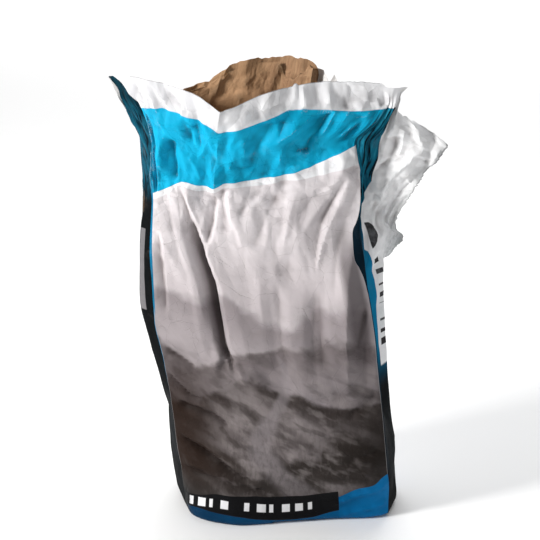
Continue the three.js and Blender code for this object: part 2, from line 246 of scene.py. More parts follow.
BACK_FOLDS = [
    ([(-180, 700), (-170, 560), (-190, 400)], -8, 24, 14, 0.2), ([(-240, 420), (-232, 300), (-246, 180)], -7, 26, 12, 0.2),
    ([(600, 720), (612, 600), (604, 470)], 7, 20, 26, 0.2), ([(668, 400), (676, 280), (662, 160)], -8, 24, 12, 0.2),
    ([(720, 700), (706, 600), (716, 520)], -8, 18, 12, 0.2), ([(-290, 740), (-276, 660), (-296, 590)], -7, 20, 12, 0.15),
    ([(-130, 330), (-150, 220), (-140, 130)], 6, 16, 22, 0.2), ([(640, 760), (652, 700), (690, 640)], -6, 16, 9, 0.15),
    ([(560, 210), (620, 180), (700, 190)], -5, 14, 8, 0.2), ([(-300, 130), (-220, 110), (-130, 140)], -5, 14, 8, 0.2),
]
FOLDS = BACK_FOLDS + [   # line (s, h), height (mm, + out), width to the left, to the right, share of the length that tapers
    # the long fold on the left: a wide shaded side, then a sharp valley, then the bright side
    ([(70, 648), (80, 620), (92, 590), (106, 556), (114, 528), (122, 495), (128, 458), (131, 424), (136, 379), (138, 346), (148, 312), (158, 278)],
     [-6, -12, -16, -17, -16, -15, -14, -13, -11, -8, -5], 40, 18, 0.12),
    ([(98, 575), (106, 556), (114, 528), (122, 495), (128, 458), (131, 424), (136, 379), (138, 346), (147, 316)],
     [-2, -8, -13, -16, -17, -17, -16, -14, -10, -3], 17, 7, 0.06),
    ([(60, 640), (66, 590), (80, 540), (92, 495), (99, 450), (104, 400), (108, 350)], 5, 20, 16, 0.25),
    ([(110, 300), (126, 326), (132, 352)], 6, 18, 10, 0.2),
    # the bright wedge beside it
    ([(176, 644), (166, 606), (154, 570), (139, 542), (120, 514)], [-3, -6, -8, -7, -3], 20, 10, 0.1),
    ([(190, 648), (186, 616), (184, 584), (180, 550)], -6, 28, 14, 0.15),
    ([(199, 645), (196, 607), (199, 581), (208, 560), (213, 526)], 4, 8, 30, 0.12),
    # beside the left front crease
    ([(20, 560), (22, 500), (26, 440), (26, 390)], -5, 16, 8, 0.2),
    # fan of folds rising to the right
    ([(212, 590), (236, 614), (262, 638)], -3, 16, 9, 0.15),
    ([(233, 526), (254, 570), (276, 608), (286, 630)], -5, 26, 15, 0.15),
    ([(290, 496), (329, 560), (357, 602), (400, 645)], 6, 18, 36, 0.15),
    ([(318, 562), (352, 606), (378, 636)], -3, 22, 12, 0.15),
    ([(214, 520), (224, 480), (222, 430), (226, 380)], 4, 20, 34, 0.25),
    ([(262, 480), (256, 420), (254, 360), (260, 290)], -5, 34, 20, 0.25), ([(338, 470), (334, 410), (330, 350), (326, 300)], -6, 34, 18, 0.25),
    # the long soft ridge near the right front crease, the side behind it in shade
    ([(418, 560), (412, 510), (397, 472), (386, 424), (378, 368), (374, 310), (372, 260)], [6, 12, 17, 19, 18, 13, 5], 60, 34, 0.15),
    ([(423, 430), (408, 388), (396, 350)], -4, 9, 7, 0.2),
    # small crumples at the end of the long fold
    ([(128, 352), (142, 330), (158, 318)], -4, 9, 6, 0.2), ([(132, 336), (142, 318), (146, 300)], 4, 7, 7, 0.2),
    ([(150, 330), (166, 306), (176, 276)], 4, 9, 9, 0.2),
    # wrinkles at the lower left
    ([(4, 286), (24, 268), (52, 246), (84, 240)], -7, 14, 7, 0.15), ([(14, 228), (52, 222), (96, 214), (128, 196)], -8, 15, 7, 0.15),
    ([(4, 164), (42, 148), (92, 126), (134, 104), (176, 92)], -9, 16, 7, 0.15), ([(6, 98), (60, 96), (100, 90), (150, 82), (206, 70)], -6, 13, 7, 0.15),
    ([(96, 262), (126, 250), (156, 236)], -3, 8, 6, 0.15), ([(20, 190), (60, 184), (104, 172)], 3, 9, 9, 0.15),
    ([(8, 330), (40, 318), (72, 300)], -6, 12, 7, 0.15),
    # lower right
    ([(366, 226), (398, 246), (428, 270)], -4, 12, 7, 0.15), ([(300, 176), (352, 190), (420, 214)], -3, 14, 9, 0.2),
    ([(340, 130), (380, 146), (428, 160)], -3, 12, 8, 0.2),
    ([(312, 34), (360, 58), (410, 70), (430, 84)], 4, 8, 8, 0.15), ([(336, 14), (378, 24), (410, 30), (430, 36)], 3, 7, 6, 0.15),
    ([(0, 26), (60, 26), (150, 20), (250, 12), (330, 22)], 2.5, 10, 8, 0.15),
    # blue band: crease of the ridge, big shaded hollows and bright sides
    ([(179, 756), (178, 700), (174, 650), (168, 620)], 5, 22, 16, 0.04),
    ([(62, 722), (60, 690), (66, 645)], -8, 26, 9, 0.12), ([(26, 740), (30, 700), (34, 660)], 5, 12, 16, 0.15),
    ([(96, 776), (104, 740), (124, 712), (150, 690)], -4, 14, 10, 0.15), ([(118, 764), (132, 730), (134, 706)], -4, 9, 6, 0.15),
    ([(104, 700), (128, 672), (140, 655)], 4, 10, 12, 0.15),
    ([(262, 770), (256, 735), (244, 705), (236, 672)], [-5, -9, -8, -4], 36, 16, 0.1), ([(222, 745), (230, 715), (226, 680)], 5, 12, 14, 0.15),
    ([(300, 772), (298, 736), (292, 700), (286, 670)], 6, 22, 12, 0.15),
    ([(344, 774), (343, 735), (338, 700)], -9, 30, 10, 0.08), ([(374, 772), (372, 735), (366, 705)], 5, 12, 16, 0.12),
    ([(398, 764), (404, 735), (402, 712)], -5, 12, 9, 0.15), ([(412, 770), (396, 745), (388, 720)], 4, 8, 9, 0.15),
    # white band at the mouth
    ([(60, 800), (84, 784), (100, 776)], -5, 14, 8, 0.1), ([(20, 798), (38, 780), (44, 765)], 5, 10, 8, 0.1), ([(4, 790), (14, 776), (18, 764)], -5, 10, 7, 0.1),
    ([(64, 784), (88, 786), (112, 776)], -4, 7, 6, 0.1),
    ([(240, 800), (238, 775)], -4, 18, 9, 0.05),
    ([(308, 800), (310, 775)], 6, 9, 7, 0.02), ([(288, 800), (282, 780)], -5, 16, 10, 0.05), ([(345, 800), (346, 776)], 6, 8, 9, 0.02),
    ([(330, 800), (328, 780)], -5, 10, 8, 0.05),
    ([(352, 790), (366, 784), (404, 785), (432, 784), (456, 780)], -4, 7, 5, 0.1), ([(368, 782), (374, 774), (392, 768)], -4, 6, 5, 0.1),
    ([(420, 774), (440, 777), (462, 788)], -6, 8, 7, 0.1),
]


def side_crumples(s, h, seed):
    """tight vertical pleats in the side of the neck"""
    return facets(seed, 7.0, 46.0, 1.0, s, h) + 0.5 * facets(seed + 1, 4.2, 26.0, 1.0, s, h)


def outer_top(s):
    """how far the printed ply's top edge stands above (+) or below its nominal line"""
    up = np.interp(s, [0, 20, 35, 65, 95, 112, 125, 140, 155, 170, 177, 185, 200, 215, 230, 245, 260, 275, 290, 320, 335, 350, 380, 395, 410, 425, 440, 470, 500, 560, 620, 652, 700, 742, 790, 880, 940, 1000, 1010, 1025, 1040, 1060],
                   [12.5, 15.5, 16.5, 17.5, 18.5, 18.5, 17.5, 15.5, 10.5, 3.5, 1.5, 4.5, 6.5, 9.5, 13, 15.5, 17, 18.5, 19, 19, 17.5, 16, 13.5, 11.5, 10, 8, 7, 5, 2, 0, 0, 11, 15, 3, -2, -4, -5, -1, 2.5, 6, 8.5, 12.5])
    spike = 18 * np.clip(1 - np.abs(s - 611) / 9.0, 0, 1)
    bit = 6 * np.clip(1 - np.abs(s - 296) / 4.0, 0, 1)
    return up + spike + bit


def kraft_low(s):
    """where the inner plies' torn top edge lies below its nominal line"""
    return np.interp(s, [0, 430, 480, 560, 600, 640, 650, 656, 912, 925, 940, 960, 1000, 1060], [-15, -15, -18, -16, -14, -12, -6, 0, 0, -7, -10, -14, -18, -15])


# ---------------- grids ----------------
def columns(spans):
    out = []
    for a, b, step in spans:
        n = max(1, int(round((b - a) / step)))
        out += [a + (b - a) * i / n for i in range(n)]
    return out + [spans[-1][1]]


def normals(P):
    du = np.gradient(P, axis=1); dv = np.gradient(P, axis=0)
    n = np.cross(du, dv)
    return n / np.maximum(np.linalg.norm(n, axis=2, keepdims=True), 1e-9)


def soften(P, n, lam, keep=None):
    for _ in range(n):
        Q = P.copy()
        Q[1:-1, 1:-1] = P[1:-1, 1:-1] + lam * ((P[:-2, 1:-1] + P[2:, 1:-1] + P[1:-1, :-2] + P[1:-1, 2:]) / 4 - P[1:-1, 1:-1])
        P = Q
    return P


def seam(P, rows):
    """first and last column of the rows below the tear are one line"""
    m = (P[rows, 0] + P[rows, -1]) / 2
    P[rows, 0] = m; P[rows, -1] = m
    return P


def carrier(cols, rows, fine=True, top=None):
    """the sack's wall with its folds, before the tear; cols run 575..1635"""
    S, H = np.meshgrid(np.array(cols), np.array(rows))
    s = np.where(S >= PERIM, S - PERIM, S)
    P = sheet(s, H, None, top)
    N = normals(P)
    for _ in range(3):
        N[1:-1, 1:-1] = (N[1:-1, 1:-1] * 2 + N[:-2, 1:-1] + N[2:, 1:-1] + N[1:-1, :-2] + N[1:-1, 2:])
        N /= np.maximum(np.linalg.norm(N, axis=2, keepdims=True), 1e-9)
    sc = np.where(s > 745, s - PERIM, s)                     # -315..745, front 0..430
    D = np.zeros_like(S)
    for pts, amp, wl, wr, ends in FOLDS:
        D += stroke(sc, H, pts, amp, wl, wr, ends)
    neck = smooth((H - 590) / 60)                            # more crumpled towards the mouth
    low = 1 - smooth((H - 20) / 60)
    frontm = smooth((sc + 5) / 10) * smooth((435 - sc) / 10)
    D += facets_round(11, 74, 120, 4.2, S, H) * (1 - low)
    D += facets_round(12, 34, 48, 1.0, S, H) * (1.1 + 2.9 * neck) * (1 - 0.8 * low)
    # gathered neck: long flat folds that fan out upwards; broad facets in the printed band; wrinkles low on the left
    fan = 215 + (sc - 215) * (1 - 0.0018 * (H - 480))
    D += facets(41, 26, 95, 6.4, fan, H, -60, 500) * box_mask(sc, H, 16, 414, 470, 650, 16, 60)
    D += facets(44, 14, 50, 2.1, fan, H, -60, 500) * box_mask(sc, H, 16, 414, 480, 650, 16, 60)
    D += facets(42, 40, 46, 7.5, sc - 0.25 * (H - 700), H, -60, 500) * box_mask(sc, H, 16, 414, 650, 770, 16, 24)
    D += facets(49, 17, 21, 2.5, sc + 0.3 * (H - 700), H, -60, 500) * box_mask(sc, H, 8, 424, 640, 778, 10, 20)
    D += facets(43, 110, 24, 5.0, sc, H + 0.22 * sc, -60, 500) * box_mask(sc, H, 8, 210, 60, 300, 16, 40)
    D += facets(47, 22, 16, 4.6, sc + 0.4 * (H - 780), H, -80, 520) * box_mask(sc, H, -22, 166, 772, 815, 8, 6)
    D += facets(48, 24, 15, 4.5, sc, H, -80, 520) * box_mask(sc, H, 186, 462, 776, 815, 8, 6)
    backm = smooth((-sc - 110) / 30) + smooth((sc - 590) / 30)
    D += facets_round(46, 60, 130, 8.0, S, H) * backm * smooth((H - 40) / 80) * (1 - 0.6 * smooth((H - 740) / 50))
    D += facets(45, 80, 34, 2.4, sc, H - 0.25 * sc, -60, 500) * box_mask(sc, H, 230, 424, 50, 300, 30, 40)
    if fine:
        D += facets_round(13, 17, 24, 0.42, S, H) * (0.7 + 2.8 * neck) * (1 - 0.6 * low)
        D += facets_round(14, 9, 12, 0.16, S, H) * (0.4 + 2.0 * neck)
    # pleated neck at both side creases
    left = box_mask(sc, H, -46, 26, 620, 770, 10, 26)
    right = box_mask(sc, H, 428, 486, 560, 775, 7, 26)
    if fine:
        D += side_crumples(S, H, 21) * (5.0 * left + 4.4 * right)
    D *= smooth(H / 14)                                      # the foot stays flat
    hang = 1 - 0.6 * smooth((H - 780) / 20)
    D *= hang
    return S, H, s, sc, P, N, D


# ---------------- meshes ----------------
def flap_keep(torn, s, H):
    return torn & (s > 430) & (s <= SLIT_S) & (H > SLIT_Z)


def shell(name, P, sc, H, thick, open_rows, mats, wear=None, lift=0.0):
    """closed thin shell from a grid of outer-side points. open_rows: index of the first row where the first and last
    column part (None when they never do). Faces: slot 0 outside, 1 inside, 2 torn edges, 3 underside."""
    nr, nc = P.shape[:2]
    N = normals(P)
    if open_rows is None or open_rows > 0:
        k = nr if open_rows is None else open_rows + 1
        a = (N[:k, 0] + N[:k, -1]); a /= np.maximum(np.linalg.norm(a, axis=1, keepdims=True), 1e-9)
        N[:k, 0] = a; N[:k, -1] = a
    Q = P - N * thick
    Q[0, :, 2] = P[0, :, 2] + thick
    verts, faces, mi, uv = [], [], [], []
    idA = np.zeros((nr, nc), int); idB = np.zeros((nr, nc), int)
    n = 0
    A = []
    for grid, ids in ((P, idA), (Q, idB)):
        for r in range(nr):
            for c in range(nc):
                if c == nc - 1 and (open_rows is None or r <= open_rows):
                    ids[r, c] = ids[r, 0]
                else:
                    ids[r, c] = n; n += 1; A.append(grid[r, c])
    V = np.array(A) / 1000.0
    U = np.stack([sc, H], -1) / 1000.0
    # u runs on past the seam on the last column, so that the print doesn't smear
    cols_u = np.array(sc)

    def uvq(r, c, r2, c2):
        return U[r, c], U[r2, c2]
    for r in range(nr - 1):
        for c in range(nc - 1):
            ua = U[r, c]; ub = U[r, c + 1]; uc = U[r + 1, c + 1]; ud = U[r + 1, c]
            if abs(ua[0] - ub[0]) > 0.5:                       # the cut of the coordinate in the middle of the back
                ub = ub + [PERIM / 1000 * np.sign(ua[0] - ub[0]), 0]; uc = uc + [PERIM / 1000 * np.sign(ua[0] - uc[0]), 0]
            faces.append((idA[r, c], idA[r, c + 1], idA[r + 1, c + 1], idA[r + 1, c])); mi.append(0); uv.append((ua, ub, uc, ud))
            faces.append((idB[r, c], idB[r + 1, c], idB[r + 1, c + 1], idB[r, c + 1])); mi.append(1); uv.append((ua, ud, uc, ub))
    for c in range(nc - 1):
        r = nr - 1
        faces.append((idA[r, c], idA[r, c + 1], idB[r, c + 1], idB[r, c])); mi.append(2); uv.append((U[r, c],) * 4)
    if open_rows is not None:
        for r in range(open_rows, nr - 1):
            faces.append((idA[r, 0], idA[r + 1, 0], idB[r + 1, 0], idB[r, 0])); mi.append(2); uv.append((U[r, 0],) * 4)
            faces.append((idA[r, nc - 1], idB[r, nc - 1], idB[r + 1, nc - 1], idA[r + 1, nc - 1])); mi.append(2); uv.append((U[r, 0],) * 4)
    # bottom: flat, in strips from the rim of the foot to a line in its middle
    for ids, down in ((idA, True), (idB, False)):
        loop = list(ids[0, :nc - 1])
        pts = [Vector((V[i][0], V[i][1], 0)) for i in loop]
        for t in tessellate_polygon([pts]):
            a, b, c = (loop[k] for k in t)
            ab, ac = V[b] - V[a], V[c] - V[a]
            up = ab[0] * ac[1] - ab[1] * ac[0] > 0
            f = (a, b, c) if up != down else (a, c, b)
            if len(set(f)) < 3 or abs(ab[0] * ac[1] - ab[1] * ac[0]) < 1e-12:
                pass
            faces.append(f); mi.append(3 if down else 1)
            uv.append(tuple(np.array([V[i][0], V[i][1] - 1.0]) for i in f))
    me = bpy.data.meshes.new(name)
    me.from_pydata([tuple(v) for v in V], [], [tuple(int(i) for i in f) for f in faces])
    me.polygons.foreach_set('material_index', mi)
    me.polygons.foreach_set('use_smooth', [True] * len(faces))
    lay = me.uv_layers.new(name='print')
    lay.data.foreach_set('uv', np.array([x for q in uv for p in q for x in p], np.float32))
    if wear is not None:
        # 'wear' marks sharp creases; 'hollow' drives painted shade in the hollows
        for key, vals in zip(('wear', 'hollow'), wear):
            at = me.attributes.new(key, 'FLOAT', 'POINT')
            w = np.zeros(n, np.float32); w[idA.ravel()] = vals.ravel(); w[idB.ravel()] = vals.ravel()
            at.data.foreach_set('value', w)
    me.update()
    me.set_sharp_from_angle(angle=math.radians(24))
    ob = bpy.data.objects.new(name, me)
    bpy.context.scene.collection.objects.link(ob)
    for m in mats:
        me.materials.append(m)
    return ob


def curvature(P):
    """how sharply the sheet bends, and how hollow it is, 0..1"""
    L = np.zeros(P.shape[:2]); N = normals(P)
    lap = (P[:-2, 1:-1] + P[2:, 1:-1] + P[1:-1, :-2] + P[1:-1, 2:]) / 4 - P[1:-1, 1:-1]
    L[1:-1, 1:-1] = np.einsum('ijk,ijk->ij', lap, N[1:-1, 1:-1])
    hollow = np.clip(L / 0.7, 0, 1)
    for _ in range(2):
        hollow[1:-1, 1:-1] = (hollow[1:-1, 1:-1] * 2 + hollow[:-2, 1:-1] + hollow[2:, 1:-1] + hollow[1:-1, :-2] + hollow[1:-1, 2:]) / 6
    return np.clip(np.abs(L) / 0.9, 0, 1), hollow


def sunken(D, rows, cols):
    """how far each point lies below the sheet round it, 0..1"""
    B = D.copy()
    for _ in range(rows):
        B[1:-1] = (B[:-2] + 2 * B[1:-1] + B[2:]) / 4
    for _ in range(cols):
        E = np.concatenate([B[:, -2:-1], B, B[:, 1:2]], 1); B = (E[:, :-2] + 2 * E[:, 1:-1] + E[:, 2:]) / 4
    return np.clip((B - D) / 5.5, 0, 1)


def blend_curve(P, Q, w):
    return P * (1 - w[..., None]) + Q * w[..., None]


def build_outer(mats):
    cols = columns([(575, 960, 7.0), (960, 1060, 4.3), (1060, 1490, 3.3), (1490, 1635, 3.4)])
    rows = columns([(0, 14, 3.5), (14, 430, 5.6), (430, 560, 4.6), (560, 800, 3.6)])
    S, H, s, sc, P, N, D = carrier(cols, rows)
    # normals point out of the sack
    X = P + N * D[..., None]
    # printed ply's own top edge
    edge = smooth((H - 770) / 30)
    X[..., 2] += edge * outer_top(s)
    # the flap
    T = np.zeros_like(S, bool); T[:, S[0] > 1400] = True
    sf = np.where(T, S - PERIM, s)
    F = sheet(sf, H, T & (sf <= SLIT_S))
    m = flap_keep(T, sf, H)
    NF = normals(F)
    t = np.clip((sf - RM) / (SLIT_S - RM), 0, 1)
    d = facets(31, 30, 44, 7.0, sf + 0.3 * (H - 600), H, 300, 740) + facets(32, 14, 22, 3.4, sf - 0.3 * (H - 600), H, 300, 740) + facets(33, 8, 10, 1.1, sf, H, 400, 640)
    d += stroke(sf, H, [(502, 750), (506, 722), (502, 695), (496, 675)], -9, 16, 8, 0.1)
    d += stroke(sf, H, [(512, 770), (514, 735), (512, 705)], 6, 8, 12, 0.1)
    d += stroke(sf, H, [(542, 740), (530, 690), (516, 640), (502, 592)], 9, 14, 24, 0.1)
    d += stroke(sf, H, [(556, 800), (560, 750), (560, 712)], -8, 16, 9, 0.05)
    d += stroke(sf, H, [(534, 800), (538, 760), (548, 720)], 6, 10, 12, 0.05)
    d += stroke(sf, H, [(560, 660), (546, 610), (536, 560)], -6, 14, 9, 0.1)
    w = smooth((H - SLIT_Z - 30) / 90) * smooth((sf - 484) / 14)
    d = d * w + 5.0 * smooth((H - SLIT_Z) / 24) * (1 - smooth((H - 560) / 80)) * smooth((sf - 476) / 16)
    F = F + NF * d[..., None]
    # pleat between the crease and the flap: tight folds along it
    pl = box_mask(sf, H, 433, 484, 560, 775, 5, 24)
    d2 = facets(34, 9, 60, 1.0, sf, H, 400, 640) * 6.0 + facets(35, 6, 22, 1.0, sf, H, 400, 640) * 2.2
    F = F + NF * (d2 * pl)[..., None]
    wf = smooth((sf - 432) / 12) * smooth((H - SLIT_Z) / 60) * m
    X = blend_curve(X, F, wf)
    # ragged torn edges
    rng = np.random.default_rng(5)
    rag = np.interp(H[:, 0], np.linspace(430, 800, 80), rng.uniform(-2.2, 2.2, 80))
    e = m * smooth((sf - 560) / 15)
    X[..., 0] += e * rag[:, None] * smooth((H - 440) / 30)
    ragt = np.interp(S[0], np.linspace(S[0][0], S[0][-1], 260), rng.uniform(-1, 1, 260))
    X[..., 2] += smooth((H - 788) / 12) * ragt[None, :] * np.where(sf[0] > 486, 2.5, 0.7)[None, :] * T.any(0)[None, :] + 0
    X = soften(X, 1, 0.12)
    slit_row = max(i for i, h in enumerate(rows) if h <= SLIT_Z)
    X = seam(X, slice(0, slit_row + 1))
    X[0, :, 2] = 0.0
    X[..., 2] = np.maximum(X[..., 2], 0.0)
    # the second entry, 'hollow', drives painted shade in the hollows
    wear = list(curvature(X)); wear[1] = np.maximum(wear[1] * 0.8, sunken(D, 14, 22))
    scx = np.where(S > 745, S - PERIM, S)
    low = eroded(D, 3, 2), cols, rows
    return shell('outer_paper', X, scx, H, 0.3, slit_row, mats, wear), X, S, H, low


def eroded(D, rows, cols):
    """lowest value round each grid point, so that what lies inside stays clear of every fold"""
    for _ in range(rows):
        E = D.copy(); E[1:] = np.minimum(E[1:], D[:-1]); E[:-1] = np.minimum(E[:-1], D[1:]); D = E
    for _ in range(cols):
        E = D.copy(); E[:, 1:] = np.minimum(E[:, 1:], D[:, :-1]); E[:, :-1] = np.minimum(E[:, :-1], D[:, 1:])
        E[:, 0] = np.minimum(E[:, 0], D[:, -2]); E[:, -1] = np.minimum(E[:, -1], D[:, 1]); D = E
    return D


def resample(D, cols, rows, cols2, H2):
    A = np.array([np.interp(cols2, cols, r) for r in D])
    return np.array([np.interp(H2[:, c], rows, A[:, c]) for c in range(len(cols2))]).T


def bend_mid(s, h):
    return stroke(s, h, [(868, 690), (863, 750), (852, 790), (838, 830)], 7, 7, 30, 0.02) + stroke(s, h, [(876, 690), (874, 760), (874, 830)], 5, 7, 12, 0.02)


def bend_in(s, h):
    c = stroke(s, h, [(888, 690), (886, 830)], 5, 6, 12, 0.02) + stroke(s, h, [(756, 735), (748, 780), (736, 812), (728, 835)], [0, 5, 9, 9], 8, 44, 0.0)
    return c + stroke(s, h, [(668, 690), (672, 830)], 7, 8, 12, 0.02) + stroke(s, h, [(800, 690), (806, 760), (796, 800)], 3, 6, 14, 0.05)


def build_kraft(name, inset, top, seed, mats, own, folds):
    cols = columns([(575, 960, 6.4), (960, 1060, 5.2), (1060, 1490, 5.6), (1490, 1635, 4.8)])
    rows = columns([(0, 12, 4), (12, 560, 15.0), (560, 640, 6.0), (640, 800, 3.4), (800, 810, 2.5)])
    S, H = np.meshgrid(np.array(cols), np.array(rows))
    s = np.where(S >= PERIM, S - PERIM, S)
    low = kraft_low(s) + np.minimum(top(s), 0)            # torn lower: the sheet ends early
    Hs = np.where(H <= 800, H + low * smooth((H - 740) / 60), 800 + low + (H - 800) * np.clip(1 + low / 3, 0.05, 1))
    P = sheet(s, Hs, None, lambda q: np.maximum(top(q), 0))
    N = normals(P)
    for _ in range(3):
        N[1:-1, 1:-1] = (N[1:-1, 1:-1] * 2 + N[:-2, 1:-1] + N[2:, 1:-1] + N[1:-1, :-2] + N[1:-1, 2:])
        N /= np.maximum(np.linalg.norm(N, axis=2, keepdims=True), 1e-9)
    D = resample(folds[0], folds[1], folds[2], cols, Hs)
    X = P + N * D[..., None]
    gap = inset * (1 + 1.0 * smooth((640 - H) / 60))
    gap += 2.5 * smooth((H - 740) / 30) * smooth((s - 370) / 30) * smooth((560 - s) / 30)
    gap += 4.5 * smooth((H - 735) / 30) * (1 - smooth((s - 672) / 20) * smooth((925 - s) / 25))
    gap += 3.6 * smooth((H - 752) / 24) * smooth((s - 634) / 14) * smooth((714 - s) / 18)
    X = X - N * gap[..., None]
    # folds, only inwards: those of the middle ply, on which the inner one lies, then the inner one's own
    up = smooth((H - 660) / 60)
    c = np.abs(facets_round(54, 46, 60, 2.6, S, H)) + np.abs(facets_round(52, 20, 26, 2.8, S, H)) + np.abs(facets_round(53, 11, 16, 1.0, S, H)) + bend_mid(s, H)
    if own:
        c += np.abs(facets_round(seed + 1, 20, 30, 1.8, S, H)) + np.abs(facets_round(seed + 2, 11, 16, 0.8, S, H)) + bend_in(s, H)
    back = smooth((s - 586) / 40) * smooth((985 - s) / 40)
    X = X - N * (c * up * (0.35 + 0.65 * back))[..., None]
    ear_l = np.clip(1 - np.abs(s - 1010) / 75, 0, 1) * smooth((H - 690) / 60)
    ear_r = np.clip(1 - np.abs(s - 480) / 70, 0, 1) * smooth((H - 560) / 60)
    high = smooth((H - 740) / 50)
    X[..., 0] += (15.0 + 9.0 * high) * ear_l - (12.0 + 9.0 * high) * ear_r + 5.0 * np.clip(1 - np.abs(s - 962) / 26, 0, 1) * smooth((H - 650) / 50)
    X[..., 1] -= 5.5 * np.clip(1.3 - np.abs(s - 977) / 26, 0, 1) * smooth((H - 670) / 30)
    rng = np.random.default_rng(seed)
    rag = np.interp(S[0], np.linspace(575, 1635, 300), rng.uniform(-1, 1, 300)) * 1.8 + np.interp(S[0], np.linspace(575, 1635, 70), rng.uniform(-1, 1, 70)) * 2.0
    rag[-1] = rag[0]
    X[..., 2] += smooth((H - 790) / 20) * rag[None, :] * np.where(low < -3, 0.4, 1.0)
    X = soften(X, 1, 0.4)
    X = seam(X, slice(0, len(rows)))
    X[0, :, 2] = inset
    X[1:, :, 2] = np.maximum(X[1:, :, 2], inset + 0.4)
    # the second entry, 'hollow', drives painted shade in the hollows
    wear = curvature(X)
    scx = np.where(S > 745, S - PERIM, S)
    return shell(name, X, scx, H, 0.3, None, mats, wear)


# ---------------- materials ----------------
def rgb(r, g, b):
    f = lambda c: (c / 255 / 12.92) if c / 255 <= 0.04045 else ((c / 255 + 0.055) / 1.055) ** 2.4
    return (f(r), f(g), f(b), 1.0)


